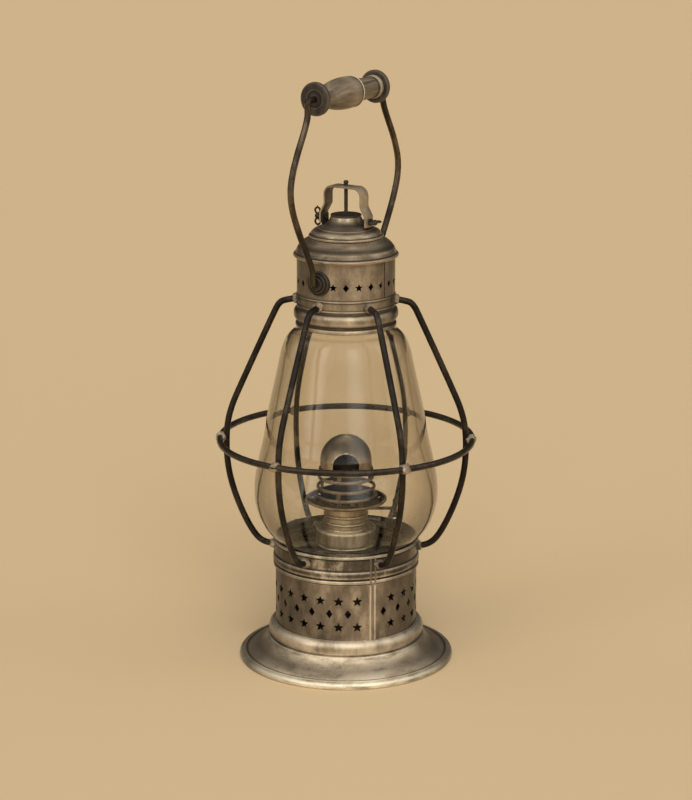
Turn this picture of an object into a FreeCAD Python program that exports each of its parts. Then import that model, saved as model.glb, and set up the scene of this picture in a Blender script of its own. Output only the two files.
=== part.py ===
import FreeCAD, Part
import Sketcher
import math
import os
import re

# Kerosene lantern in tinplate: pierced drum base, fixed globe in a wire guard, pierced crown, stepped
# cap with a lifting smoke lid, wire bail with a turned grip, and a drop-out font with a flat-wick burner.
# The axis is Z, the lantern stands on z = 0, and the bail's pins lie along X.

Vector = FreeCAD.Vector
doc = FreeCAD.newDocument("KeroseneLantern")

# Driving dimensions, in millimetres, degrees and counts
SIZES = {
    # Tinplate and running fits
    "sheet_wall": 0.8,
    "running_gap": 0.05,
    "loose_gap": 0.3,
    "cut_overrun": 5.0,
    "roll_share": 0.52,
    "bead_share": 0.58,
    "swage_share": 0.9,
    # Skirt that the lantern stands on
    "base_radius": 82.5,
    "rim_height": 4.2,
    "rim_depth": 3.9,
    "rim_band": 1.6,
    "rim_step": 0.8,
    "skirt_sweep": 30.0,
    "skirt_top": 17.6,
    "skirt_ledge": 6.2,
    # Rounded ring round the foot of the drum
    "collar_depth": 5.4,
    "collar_height": 11.4,
    "collar_bulge": 3.3,
    # Pierced drum
    "drum_radius": 54.1,
    "drum_foot": 14.0,
    "drum_top": 75.5,
    "seam_angle": 234.5,
    "seam_width": 9.0,
    "seam_lift": 0.5,
    "seam_fold": 2.4,
    "star_radius": 4.2,
    "star_waist": 1.95,
    "diamond_width": 5.2,
    "diamond_height": 7.4,
    "star_high": 60.0,
    "diamond_row": 50.2,
    "star_low": 39.6,
    "star_count": 23,
    "star_step_angle": 15.0,
    "star_first_angle": 252.0,
    "diamond_first_angle": 244.5,
    # Gallery that holds the globe
    "gallery_lap": 2.7,
    "gallery_rise": 20.1,
    "gallery_bead_height": 3.0,
    "gallery_bead_pitch": 3.8,
    "gallery_swage_height": 6.6,
    "gallery_roll": 1.1,
    "seat_rise": 11.1,
    "seat_ledge": 10.6,
    "seat_hole": 1.6,
    "seat_hole_count": 18,
    # Globe
    "globe_wall": 2.0,
    "globe_radius": 70.0,
    "globe_foot_gap": 1.7,
    "globe_neck_gap": 1.8,
    "globe_height": 184.4,
    "globe_neck_share": 0.935,
    # Wire guard
    "wire_radius": 2.4,
    "guard_count": 6,
    "ring_level_share": 0.438,
    "ring_radius": 95.8,
    "guard_top_rise": 19.9,
    "guard_foot_rise": 12.9,
    "lump_radius": 4.0,
    "lump_height": 6.6,
    "lump_reach": 4.6,
    # Crown
    "crown_radius": 36.8,
    "crown_lap": 9.5,
    "crown_height": 52.9,
    "crown_roll_height": 3.2,
    "crown_bead_height": 8.4,
    "crown_bead_rise": 9.8,
    "crown_line_low_rise": 17.0,
    "crown_line_high_rise": 24.5,
    "crown_line_height": 1.4,
    "crown_line_lift": 0.5,
    "crown_seam_angle": 263.0,
    "crown_seam_width": 5.0,
    "crown_row_rise": 35.4,
    "crown_star_radius": 3.2,
    "crown_star_waist": 1.5,
    "crown_diamond_width": 4.4,
    "crown_diamond_height": 6.0,
    "crown_star_count": 12,
    "crown_star_angle": 228.0,
    "crown_diamond_angle": 213.0,
    "crown_step_angle": 30.0,
    "packing_height": 5.0,
    # Smoke tube inside the crown
    "tube_radius": 18.0,
    "tube_foot_rise": 21.5,
    "tube_lip": 2.0,
    "tube_shoulder_rise": 38.5,
    "tube_top_rise": 63.5,
    # Cap
    "cap_overhang": 3.0,
    "cap_roll": 1.25,
    "dome_height": 14.5,
    "dome_inset": 9.4,
    "dome_lip": 2.0,
    "dome_sweep": 21.0,
    "cowl_bead_reach": 0.5,
    "cowl_bead_height": 1.7,
    "cowl_shoulder": 21.8,
    "cowl_shoulder_height": 6.2,
    "cowl_step": 0.8,
    "cowl_neck_foot": 19.8,
    "cowl_mouth": 10.4,
    "cowl_height": 15.4,
    "cowl_sweep": 14.0,
    # Smoke lid and its rod
    "lid_radius": 11.6,
    "lid_thickness": 1.4,
    "lid_lip": 0.9,
    "rod_radius": 1.4,
    "rod_tail": 5.0,
    "rod_rise": 4.0,
    "knob_radius": 1.9,
    "knob_height": 2.6,
    # Strap over the cap
    "strap_rise": 52.6,
    "strap_thickness": 1.5,
    "strap_width": 10.6,
    "strap_half": 16.6,
    "strap_splay_rise": 34.1,
    "strap_foot_half": 20.6,
    "strap_foot_rise": 31.6,
    "strap_foot_lift": 23.2,
    "strap_bend": 4.0,
    "strap_corner": 6.5,
    "lug_width": 8.0,
    "lug_thickness": 1.2,
    "lug_height": 9.2,
    "screw_rise": 27.3,
    "screw_radius": 1.5,
    "screw_tip": 1.6,
    "shoulder_radius": 2.6,
    "shoulder_length": 1.4,
    "wing_reach": 4.2,
    "wing_radius": 2.2,
    "wing_wire": 0.75,
    "wing_tip": 0.9,
    # Bail and its bosses
    "bail_rise": 37.9,
    "ear_radius": 9.3,
    "ear_step": 7.4,
    "ear_ring": 5.0,
    "ear_plate": 1.8,
    "ear_rise": 1.4,
    "ear_edge": 0.4,
    "ear_depth": 4.4,
    "bail_bend": 3.2,
    "bail_shoulder": 5.8,
    "bail_tip": 33.6,
    "bail_bow": 74.6,
    "grip_rise": 136.6,
    "grip_length": 84.0,
    "grip_radius": 12.0,
    "grip_step_radius": 10.4,
    "grip_step": 0.9,
    "grip_neck_radius": 7.2,
    "grip_bead_radius": 8.8,
    "grip_bead_width": 2.9,
    "grip_neck_place": 4.7,
    "grip_barrel": 38.0,
    "grip_belly": 91.0,
    "grip_disc_radius": 12.4,
    "grip_disc_thickness": 3.6,
    # Font
    "font_clearance": 6.1,
    "font_foot": 22.0,
    "font_dome": 8.0,
    "font_lap": 4.0,
    "font_rise": 12.5,
    "font_flat": 21.0,
    "font_sweep": 52.0,
    "font_bead_height": 2.4,
    "screw_collar_radius": 17.0,
    "screw_collar_bore": 14.2,
    "screw_collar_flange": 20.0,
    "screw_collar_height": 5.6,
    "catch_width": 9.0,
    "catch_top": 68.0,
    "catch_gap": 0.7,
    "catch_foot": 16.0,
    # Burner
    "burner_angle": -57.0,
    "cup_radius": 23.0,
    "cup_foot_rise": 4.6,
    "cup_top_rise": 15.0,
    "cup_lip": 0.7,
    "neck_radius": 16.8,
    "neck_line": 0.5,
    "neck_line_height": 1.6,
    "neck_line_low_rise": 19.0,
    "neck_line_high_rise": 25.0,
    "dish_floor_rise": 33.4,
    "dish_bore": 12.4,
    "dish_flat": 24.4,
    "dish_radius": 31.3,
    "dish_edge_rise": 37.2,
    "dish_roll": 0.9,
    "dish_hole": 1.3,
    "dish_hole_ring": 28.0,
    "dish_hole_count": 18,
    "basket_foot": 23.6,
    "basket_head": 19.7,
    "basket_top_rise": 62.4,
    "basket_ring": 1.2,
    "basket_ring_one_rise": 40.8,
    "basket_ring_two_rise": 47.3,
    "basket_ring_three_rise": 54.9,
    "basket_ring_four_rise": 60.7,
    "basket_post": 3.3,
    "basket_post_count": 4,
    "basket_angle": -15.0,
    "dome_radius": 19.6,
    "dome_level_rise": 68.0,
    "window_width": 20.0,
    "window_top_rise": 77.0,
    # Wick and its raiser
    "wick_width": 18.9,
    "wick_thickness": 2.8,
    "wick_gap": 0.3,
    "wick_wall": 0.6,
    "wick_foot": 30.0,
    "wick_head_rise": 66.0,
    "wick_tube_foot_drop": 1.0,
    "wick_tube_top_rise": 64.2,
    "shaft_level_rise": 31.3,
    "shaft_radius": 1.2,
    "shaft_tail": 17.4,
    "spur_radius": 5.0,
    "spur_root": 3.9,
    "spur_width": 2.4,
    "spur_offset": 5.2,
    "spur_teeth": 12,
    "thumbwheel_radius": 7.0,
    "thumbwheel_thickness": 3.0,
    "thumbwheel_reach": 38.6,
    "thumbwheel_notch": 0.7,
    "thumbwheel_notch_count": 18,
}

# Places worked out from those sizes. The lantern is stacked up from the top of its drum, the crown's
# fittings from the foot of the crown, the cap's from its top, and the burner from the top of the font.
PLACES = {
    "skirt_shoulder": "drum_radius + skirt_ledge",
    "collar_radius": "drum_radius + collar_depth",
    "gallery_radius": "drum_radius + sheet_wall",
    "gallery_foot": "drum_top - gallery_lap",
    "gallery_fold": "gallery_radius + gallery_roll + sheet_wall / 4",
    "gallery_bead": "gallery_foot + sheet_wall",
    "gallery_swage": "gallery_bead + gallery_bead_pitch",
    "gallery_top": "drum_top + gallery_rise",
    "seat_bore": "drum_radius - seat_ledge",
    "seat_height": "drum_top + seat_rise",
    "globe_foot_radius": "drum_radius - globe_foot_gap",
    "globe_neck_radius": "crown_radius - globe_neck_gap",
    "globe_bend": "gallery_top - gallery_roll",
    "globe_neck_top": "seat_height + globe_height",
    "guard_foot": "drum_top + guard_foot_rise",
    "guard_top": "crown_foot + guard_top_rise",
    "guard_span": "guard_top - guard_foot",
    "guard_inner": "ring_radius - wire_radius * 2",
    "ring_height": "guard_foot + guard_span * ring_level_share",
    "crown_foot": "globe_neck_top - crown_lap",
    "crown_top": "crown_foot + crown_height",
    "crown_bead_level": "crown_foot + crown_bead_rise",
    "crown_line_low": "crown_foot + crown_line_low_rise",
    "crown_line_high": "crown_foot + crown_line_high_rise",
    "crown_row": "crown_foot + crown_row_rise",
    "tube_foot": "crown_foot + tube_foot_rise",
    "tube_shoulder": "crown_foot + tube_shoulder_rise",
    "tube_top": "crown_foot + tube_top_rise",
    "cap_radius": "crown_radius + cap_overhang",
    "dome_top_radius": "crown_radius - dome_inset",
    "dome_bore": "dome_top_radius - dome_lip",
    "cowl_foot": "crown_top + dome_height",
    "cowl_bead": "dome_top_radius + cowl_bead_reach",
    "cowl_step_level": "cowl_foot + cowl_shoulder_height + cowl_step",
    "lid_foot": "cowl_foot + cowl_height",
    "strap_top": "crown_top + strap_rise",
    "strap_splay": "crown_top + strap_splay_rise",
    "strap_foot_top": "crown_top + strap_foot_rise",
    "strap_foot": "crown_top + strap_foot_lift",
    "screw_level": "crown_top + screw_rise",
    "rod_top": "strap_top + rod_rise",
    "bail_level": "crown_foot + bail_rise",
    "ear_face": "crown_radius + ear_depth",
    "grip_level": "bail_level + grip_rise",
    "font_radius": "drum_radius - font_clearance",
    "font_top": "drum_top + font_rise",
    "font_shoulder": "font_top - font_dome",
    "catch_bow": "drum_radius - sheet_wall - catch_gap",
    "wick_slot_width": "wick_width + wick_gap * 2",
    "wick_slot_depth": "wick_thickness + wick_gap * 2",
    "wick_tube_width": "wick_slot_width + wick_wall * 2",
    "wick_tube_depth": "wick_slot_depth + wick_wall * 2",
    "wick_tube_foot": "font_top - wick_tube_foot_drop",
    "shaft_back": "wick_thickness / 2 + spur_radius + running_gap",
}
for place in ("cup_foot", "cup_top", "neck_line_low", "neck_line_high", "dish_floor", "dish_edge",
              "basket_top", "basket_ring_one", "basket_ring_two", "basket_ring_three", "basket_ring_four",
              "dome_level", "window_top", "wick_head", "wick_tube_top", "shaft_level"):
    PLACES[place] = f"font_top + {place}_rise"

sizes = doc.addObject("Spreadsheet::Sheet", "Sizes")
for row, (word, value) in enumerate(SIZES.items(), start=1):
    sizes.set(f"A{row}", word)
    sizes.set(f"B{row}", str(value))
    sizes.setAlias(f"B{row}", word)
doc.recompute()

WORD = re.compile(r"[a-z]+(?:_[a-z]+)*")
parts = []


def reference(found):
    """What a word of a formula stands for: a place's own formula, a cell of the sheet, or itself."""
    word = found.group()
    if word in PLACES:
        return f"({bound(PLACES[word])})"
    return "Sizes." + word if word in SIZES else word


def bound(formula):
    """The formula with each size and place turned into references to cells."""
    return WORD.sub(reference, str(formula))


def size(formula):
    """The formula's present value."""
    return float(sizes.evalExpression(bound(formula)))


def bind(thing, **formulas):
    """Ties each named property of an object to the sheet."""
    for name, formula in formulas.items():
        thing.setExpression(name, bound(formula))


def finish(thing, label):
    """Names a sub-part and puts it on the list of what is written."""
    thing.Label = label
    parts.append(thing)
    return thing


def sketch_on(body, role, name):
    """An empty sketch on one of the body's own origin planes."""
    plane = [f for f in body.Origin.OriginFeatures if f.Role == role][0]
    sketch = body.newObject("Sketcher::SketchObject", name)
    sketch.AttachmentSupport = [(plane, "")]
    sketch.MapMode = "FlatFace"
    return sketch


def draw_outline(sketch, corners):
    """A closed outline. A corner is (across, up), or (across, up, radius, side) where an arc leads on from
    it to the next corner, with its centre on the left (side 1) or the right (side -1) of the way there."""
    at = [Vector(size(c[0]), size(c[1]), 0) for c in corners]
    ends = []
    for i, corner in enumerate(corners):
        a, b = at[i], at[(i + 1) % len(at)]
        if len(corner) == 2:
            edge = sketch.addGeometry(Part.LineSegment(a, b), False)
            ends.append((edge, 1, 2))
            continue
        radius, side = size(corner[2]), corner[3]
        chord = b - a
        left = Vector(-chord.y, chord.x, 0).normalize()
        centre = (a + b) / 2 + left * side * math.sqrt(radius ** 2 - (chord.Length / 2) ** 2)
        first, last = (a, b) if side == 1 else (b, a)
        angles = [math.atan2(p.y - centre.y, p.x - centre.x) for p in (first, last)]
        if angles[1] < angles[0]:
            angles[1] += 2 * math.pi
        circle = Part.Circle(centre, Vector(0, 0, 1), radius)
        edge = sketch.addGeometry(Part.ArcOfCircle(circle, *angles), False)
        ends.append((edge, 1, 2) if side == 1 else (edge, 2, 1))
    for i, corner in enumerate(corners):
        edge, start, _ = ends[i]
        before = ends[i - 1]
        sketch.addConstraint(Sketcher.Constraint("Coincident", before[0], before[2], edge, start))
        for kind, axis, formula in (("DistanceX", -2, corner[0]), ("DistanceY", -1, corner[1])):
            if formula == "0":
                sketch.addConstraint(Sketcher.Constraint("PointOnObject", edge, start, axis))
                continue
            rule = sketch.addConstraint(Sketcher.Constraint(kind, -1, 1, edge, start, size(formula)))
            sketch.setExpression(f"Constraints[{rule}]", bound(formula))
        if len(corner) > 2:
            rule = sketch.addConstraint(Sketcher.Constraint("Radius", edge, size(corner[2])))
            sketch.setExpression(f"Constraints[{rule}]", bound(corner[2]))


def turned(name, corners, sweep=None):
    """A body turned about Z from its half outline; with sweep, only that many degrees, centred on X."""
    body = doc.addObject("PartDesign::Body", name)
    sketch = sketch_on(body, "XZ_Plane", name + "_outline")
    draw_outline(sketch, corners)
    turn = body.newObject("PartDesign::Revolution", name + "_turn")
    turn.Profile = sketch
    turn.ReferenceAxis = (sketch, ["V_Axis"])
    turn.Angle = 360
    if sweep:
        turn.Midplane = True
        bind(turn, Angle=sweep)
    sketch.Visibility = False
    return body


def bored(body, name, role, corners, both=True):
    """Cuts an outline straight through a body, across its axis on both sides, or along it."""
    before = body.Shape.Volume
    sketch = sketch_on(body, role, name + "_outline")
    draw_outline(sketch, corners)
    cut = body.newObject("PartDesign::Pocket", name)
    cut.Profile = sketch
    cut.Midplane = both
    cut.Type = "Length"
    bind(cut, Length="rod_top * 2")
    sketch.Visibility = False
    doc.recompute()
    if not both and body.Shape.Volume >= before:
        cut.Reversed = True
        doc.recompute()
    if body.Shape.Volume >= before:
        raise RuntimeError(f"{name} cuts nothing")
    return cut


def star(radius, waist):
    """Corners of a five-pointed star round the origin, one point up."""
    corners = []
    for i in range(10):
        reach = radius if i % 2 == 0 else waist
        turn = math.radians(36 * i)
        corners.append((-reach * math.sin(turn), reach * math.cos(turn)))
    return corners


def diamond(width, height):
    """Corners of an upright diamond round the origin."""
    return [(0, height / 2), (-width / 2, 0), (0, -height / 2), (width / 2, 0)]


def punches(corners, level, start, count, pitch, radius):
    """A ring of punches, each long enough to pass through one side of a tube's wall."""
    inner = radius - size("sheet_wall") * 4
    points = [Vector(inner, y, level + z) for y, z in corners]
    punch = Part.Face(Part.makePolygon(points + points[:1])).extrude(Vector(size("cut_overrun") * 2, 0, 0))
    return [turned_shape(punch, start + i * pitch) for i in range(int(count))]


def spun(body, angle):
    """Turns a whole body about Z, by a formula in degrees."""
    body.setExpression("Placement.Rotation.Axis.x", "0")
    body.setExpression("Placement.Rotation.Axis.y", "0")
    body.setExpression("Placement.Rotation.Axis.z", "1")
    body.setExpression("Placement.Rotation.Angle", bound(angle))
    return body


def turned_shape(shape, angle):
    """A copy of a shape, turned about Z."""
    copy = shape.copy()
    copy.rotate(Vector(0, 0, 0), Vector(0, 0, 1), angle)
    return copy


def solid_of(shape):
    """The single solid of a result, without its compound."""
    return shape.Solids[0] if len(shape.Solids) == 1 else shape


def made(label, shape):
    """A sub-part whose shape was worked out here from the sheet's sizes."""
    feature = doc.addObject("Part::Feature", label)
    feature.Shape = shape
    return finish(feature, label)


def rounded_path(points, ease=0.45, bends=None):
    """Straight runs joined by tangent arcs. Each arc is as large as its two runs allow, unless bends, by the
    point's number, gives its radius."""
    edges, last = [], points[0]
    for i in range(1, len(points) - 1):
        to_last = (points[i - 1] - points[i])
        to_next = (points[i + 1] - points[i])
        turn = math.pi - to_last.getAngle(to_next)
        reach = ease * min(to_last.Length, to_next.Length)
        if bends and i in bends:
            reach = bends[i] * math.tan(turn / 2)
        radius = reach / math.tan(turn / 2)
        to_last.normalize()
        to_next.normalize()
        a = points[i] + to_last * reach
        b = points[i] + to_next * reach
        inward = (to_last + to_next).normalize()
        middle = points[i] + inward * (radius / math.cos(turn / 2) - radius)
        if (a - last).Length > size("running_gap"):
            edges.append(Part.LineSegment(last, a).toShape())
        edges.append(Part.Arc(a, middle, b).toShape())
        last = b
    edges.append(Part.LineSegment(last, points[-1]).toShape())
    return Part.Wire(edges)


def wire_along(path, radius):
    """A round wire whose middle follows the path."""
    start = path.Edges[0]
    way = start.tangentAt(start.FirstParameter)
    ring = Part.Wire([Part.makeCircle(radius, start.valueAt(start.FirstParameter), way)])
    return solid_of(path.makePipeShell([ring], True, False))


def strip_along(path, thickness, width, across):
    """A flat strip that follows the path, centred on it, with its width along the direction across."""
    start = path.Edges[0]
    way = start.tangentAt(start.FirstParameter)
    origin = start.valueAt(start.FirstParameter)
    out = way.cross(across).normalize() * (thickness / 2)
    side = across * (width / 2)
    corners = [origin + out + side, origin - out + side, origin - out - side, origin + out - side]
    section = Part.makePolygon(corners + corners[:1])
    return solid_of(path.makePipeShell([section], True, False))


# Skirt: one spun sheet from the rolled rim to the ledge that the foot collar sits on
skirt = turned("Skirt", [
    ("base_radius - rim_depth", "0"),
    ("base_radius - rim_height / 2", "0", "rim_height * roll_share", 1),
    ("base_radius - rim_height / 2", "rim_height"),
    ("base_radius - rim_depth - rim_band", "rim_height + sheet_wall + rim_step"),
    ("base_radius - rim_depth - rim_band - rim_step", "rim_height + sheet_wall", "skirt_sweep", -1),
    ("skirt_shoulder", "skirt_top - sheet_wall"),
    ("skirt_shoulder - sheet_wall", "skirt_top"),
    ("drum_radius", "skirt_top"),
    ("drum_radius", "skirt_top - sheet_wall"),
    ("skirt_shoulder - sheet_wall * 1.5", "skirt_top - sheet_wall * 2", "skirt_sweep", 1),
    ("base_radius - rim_depth - rim_band", "rim_height - sheet_wall / 4"),
    ("base_radius - rim_depth", "rim_height - sheet_wall"),
])
finish(skirt, "base_flange")

# Rounded ring between the skirt and the drum
foot_collar = turned("FootCollar", [
    ("drum_radius", "skirt_top"),
    ("collar_radius - collar_bulge", "skirt_top", "collar_height * bead_share", 1),
    ("collar_radius - collar_bulge", "skirt_top + collar_height"),
    ("drum_radius", "skirt_top + collar_height"),
])
finish(foot_collar, "foot_collar")


def cut_from(label, base, tool_shape=None, tool=None):
    """A sub-part made by cutting one object from another."""
    if tool is None:
        tool = doc.addObject("Part::Feature", label + "_tool")
        tool.Shape = tool_shape
    cut = doc.addObject("Part::Cut", label)
    cut.Base = base
    cut.Tool = tool
    return finish(cut, label)


# Drum: a plain tube, pierced with two rows of stars and a row of diamonds between them, none at the seam
drum = turned("DrumTube", [
    ("drum_radius - sheet_wall", "drum_foot"), ("drum_radius", "drum_foot"),
    ("drum_radius", "drum_top"), ("drum_radius - sheet_wall", "drum_top"),
])
drum_star = star(size("star_radius"), size("star_waist"))
drum_diamond = diamond(size("diamond_width"), size("diamond_height"))
drum_rows = []
for corners, level, first in ((drum_star, "star_high", "star_first_angle"),
                              (drum_star, "star_low", "star_first_angle"),
                              (drum_diamond, "diamond_row", "diamond_first_angle")):
    drum_rows += punches(corners, size(level), size(first), size("star_count"), size("star_step_angle"),
                         size("drum_radius"))
cut_from("base_drum", drum, Part.makeCompound(drum_rows))


def seam_strip(name, radius, foot, top, width, lift, fold, angle):
    """A strip on the outside of a tube, and the narrower ridge on it, in one body."""
    body = turned(name, [
        (radius, foot), (f"{radius} + {lift}", foot), (f"{radius} + {lift}", top), (radius, top),
    ], sweep=f"{width} / ({radius}) * 1 rad")
    ridge_sketch = sketch_on(body, "XZ_Plane", name + "_ridge_outline")
    draw_outline(ridge_sketch, [
        (f"{radius} + {lift} / 2", foot), (f"{radius} + {lift} * 2", foot),
        (f"{radius} + {lift} * 2", top), (f"{radius} + {lift} / 2", top),
    ])
    ridge = body.newObject("PartDesign::Revolution", name + "_ridge")
    ridge.Profile = ridge_sketch
    ridge.ReferenceAxis = (ridge_sketch, ["V_Axis"])
    ridge.Midplane = True
    bind(ridge, Angle=f"{fold} / ({radius}) * 1 rad")
    ridge_sketch.Visibility = False
    return spun(body, angle)


# Lapped seam strip of the drum, with the folded ridge down its middle
finish(seam_strip("DrumSeam", "drum_radius", "skirt_top + collar_height", "gallery_foot", "seam_width",
                  "seam_lift", "seam_fold", "seam_angle"), "base_seam")

# Gallery: a sleeve over the drum's top edge with a narrow bead, a broad swage above it and a rolled rim
gallery = turned("Gallery", [
    ("drum_radius", "gallery_foot"),
    ("gallery_radius", "gallery_foot"),
    ("gallery_radius", "gallery_bead", "gallery_bead_height * bead_share", 1),
    ("gallery_radius", "gallery_bead + gallery_bead_height"),
    ("gallery_radius", "gallery_swage", "gallery_swage_height * swage_share", 1),
    ("gallery_radius", "gallery_swage + gallery_swage_height"),
    ("gallery_radius", "gallery_top - gallery_roll * 2", "gallery_roll * 2 * roll_share", 1),
    ("gallery_radius", "gallery_top", "gallery_roll * 2 * roll_share", 1),
    ("drum_radius", "gallery_top - gallery_roll / 2"),
])
gallery_seam = turned("GallerySeam", [
    ("drum_radius + sheet_wall / 2", "gallery_foot"), ("gallery_fold", "gallery_foot"),
    ("gallery_fold", "gallery_top - gallery_roll * 2"),
    ("drum_radius + sheet_wall / 2", "gallery_top - gallery_roll * 2"),
], sweep="seam_fold / gallery_radius * 1 rad")
gallery_ring = doc.addObject("Part::Fuse", "GalleryRing")
gallery_ring.Base, gallery_ring.Tool = gallery, spun(gallery_seam, "seam_angle")
finish(gallery_ring, "gallery_ring")

# Ring plate inside the gallery, which the globe stands on, with air holes inside the globe's foot
seat = turned("SeatPlate", [
    ("seat_bore", "seat_height - sheet_wall * 2"), ("seat_bore + sheet_wall", "seat_height - sheet_wall * 2"),
    ("seat_bore + sheet_wall", "seat_height - sheet_wall"), ("drum_radius", "seat_height - sheet_wall"),
    ("drum_radius", "seat_height"), ("seat_bore", "seat_height"),
])
seat_hole_ring = size("(seat_bore + sheet_wall + globe_foot_radius - globe_wall) / 2")
seat_holes = []
for i in range(int(size("seat_hole_count"))):
    hole = Part.makeCylinder(size("seat_hole"), size("cut_overrun") * 2,
                             Vector(seat_hole_ring, 0, size("seat_height - cut_overrun")))
    seat_holes.append(turned_shape(hole, 360 * i / size("seat_hole_count")))
cut_from("globe_seat", seat, Part.makeCompound(seat_holes))

# Globe: blown pear shape with a straight foot and a short neck, one wall thickness throughout.
# Each place is a share of the globe's greatest radius and of its height from the bend above the foot,
# which stands clear of the gallery's rim, to the neck top.
globe_outline_shares = [(0.880, 0.047), (0.985, 0.135), (1.008, 0.229), (0.962, 0.342), (0.890, 0.457),
                        (0.857, 0.551), (0.775, 0.692), (0.690, 0.854), (0.615, 0.914)]


def globe_side(inset):
    """One face of the globe's wall: its half outline moved inwards, as tangent arcs from foot to neck top."""
    foot_side, neck_side = size("globe_foot_radius"), size("globe_neck_radius")
    bend, top = size("globe_bend"), size("globe_neck_top")
    places = [(foot_side, 0)] + [(size("globe_radius") * out, up) for out, up in globe_outline_shares]
    places += [(neck_side, size("globe_neck_share")), (neck_side, 1)]
    points = [Vector(foot_side - inset, 0, size("seat_height"))]
    points += [Vector(out - inset, 0, bend + (top - bend) * up) for out, up in places]
    return rounded_path(points, ease=0.49)


globe_sides = [globe_side(0), globe_side(size("globe_wall"))]
globe_rims = [Part.makeLine(*[side.OrderedVertexes[end].Point for side in globe_sides]) for end in (0, -1)]
globe_edges = [edge for side in globe_sides for edge in side.Edges]
globe_face = Part.Face(Part.Wire(Part.__sortEdges__(globe_edges + globe_rims)))
made("glass_globe", solid_of(globe_face.revolve(Vector(0, 0, 0), Vector(0, 0, 1), 360)))

# Crown: a tube with a rolled foot, a broad swage and two raised lines
crown = turned("CrownTube", [
    ("crown_radius - sheet_wall", "crown_foot"),
    ("crown_radius", "crown_foot", "crown_roll_height * roll_share", 1),
    ("crown_radius", "crown_foot + crown_roll_height"),
    ("crown_radius", "crown_bead_level - crown_bead_height / 2", "crown_bead_height * bead_share", 1),
    ("crown_radius", "crown_bead_level + crown_bead_height / 2"),
    ("crown_radius", "crown_line_low - crown_line_height / 2"),
    ("crown_radius + crown_line_lift", "crown_line_low"),
    ("crown_radius", "crown_line_low + crown_line_height / 2"),
    ("crown_radius", "crown_line_high - crown_line_height / 2"),
    ("crown_radius + crown_line_lift", "crown_line_high"),
    ("crown_radius", "crown_line_high + crown_line_height / 2"),
    ("crown_radius", "crown_top"),
    ("crown_radius - sheet_wall", "crown_top"),
])
doc.recompute()

# Wire guard: six bowed wires, upright where they touch the inside of the horizontal ring. Each place on a
# wire is a share of the way out, from the crown or the gallery to the ring, and of the height of the guard.
guard_upper_shares = [(0, 1), (0.245, 0.987), (0.880, 0.594), (1, 0.475)]
guard_lower_shares = [(1, 0.330), (0.833, 0.199), (0.515, 0.062), (0.238, 0), (0, 0)]
guard_points = []
for shares, wall in ((guard_upper_shares, "crown_radius"), (guard_lower_shares, "gallery_radius")):
    for out, up in shares:
        guard_points.append(Vector(size(f"{wall} + (guard_inner - {wall}) * {out}"), 0,
                                   size(f"guard_foot + guard_span * {up}")))
guard_wire = wire_along(rounded_path(guard_points), size("wire_radius"))
crown_core = turned_shape(Part.makeCylinder(size("crown_radius"), size("crown_top")), 180)
crown_core = crown_core.fuse(turned_shape(crown.Shape, 180))
gallery_core = turned_shape(Part.makeCylinder(size("gallery_radius"), size("gallery_top")), 180)
guard_wire = solid_of(guard_wire.cut(crown_core).cut(gallery_core))
for i in range(int(size("guard_count"))):
    made(f"guard_wire_{i + 1}", turned_shape(guard_wire, i * 360 / size("guard_count")))
guard_ring = doc.addObject("Part::Torus", "GuardRing")
bind(guard_ring, Radius1="ring_radius", Radius2="wire_radius")
guard_ring.setExpression("Placement.Base.z", bound("ring_height"))
finish(guard_ring, "guard_ring")
doc.recompute()


# Solder lumps where the wires are joined: to the ring, to the crown and to the gallery
def solder_group(label, middle, way, length, radius, cutters):
    """Six lumps, one at each wire: eight-sided, cut to fit what they join."""
    normal = Vector(*way)
    across = Vector(0, 1, 0)
    up = normal.cross(across)
    corners = []
    for i in range(8):
        turn = math.radians(45 * i)
        corners.append(middle + across * radius * math.cos(turn) + up * radius * math.sin(turn))
    lump = Part.Face(Part.makePolygon(corners + corners[:1])).extrude(normal * length)
    for cutter in cutters:
        lump = lump.cut(cutter)
    lump = max(lump.Solids, key=lambda solid: solid.Volume)
    made(label, Part.makeCompound([turned_shape(lump, i * 360 / size("guard_count"))
                                   for i in range(int(size("guard_count")))]))


lump_radius, lump_reach = size("lump_radius"), size("lump_reach")
ring_lump_foot = Vector(size("guard_inner + wire_radius"), 0, size("ring_height - lump_height / 2"))
solder_group("solder_ring", ring_lump_foot, (0, 0, 1), size("lump_height"), lump_radius,
             [guard_wire, guard_ring.Shape])
solder_group("solder_top", Vector(size("crown_radius") - lump_radius / 2, 0, size("guard_top")), (1, 0, 0),
             lump_reach + lump_radius / 2, lump_radius, [guard_wire, crown_core])
solder_group("solder_foot", Vector(size("drum_radius") - lump_radius / 2, 0, size("guard_foot")), (1, 0, 0),
             lump_reach + lump_radius / 2, lump_radius, [guard_wire, gallery_core])

# Piercings of the crown, and the holes for the bail
crown_star = star(size("crown_star_radius"), size("crown_star_waist"))
crown_diamond = diamond(size("crown_diamond_width"), size("crown_diamond_height"))
crown_punches = punches(crown_star, size("crown_row"), size("crown_star_angle"), size("crown_star_count"),
                        size("crown_step_angle"), size("crown_radius"))
for punch in punches(crown_diamond, size("crown_row"), size("crown_diamond_angle"), size("crown_star_count"),
                     size("crown_step_angle"), size("crown_radius")):
    if abs(punch.CenterOfMass.y) > size("ear_radius"):
        crown_punches.append(punch)
bail_bore = Part.makeCylinder(size("wire_radius + loose_gap"), size("base_radius") * 2,
                              Vector(-size("base_radius"), 0, size("bail_level")), Vector(1, 0, 0))
cut_from("crown_body", crown, Part.makeCompound(crown_punches + [bail_bore]))
finish(seam_strip("CrownSeam", "crown_radius", "crown_line_high + crown_line_height", "crown_top",
                  "crown_seam_width", "seam_lift / 2", "seam_fold / 2", "crown_seam_angle"), "crown_seam")

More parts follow.
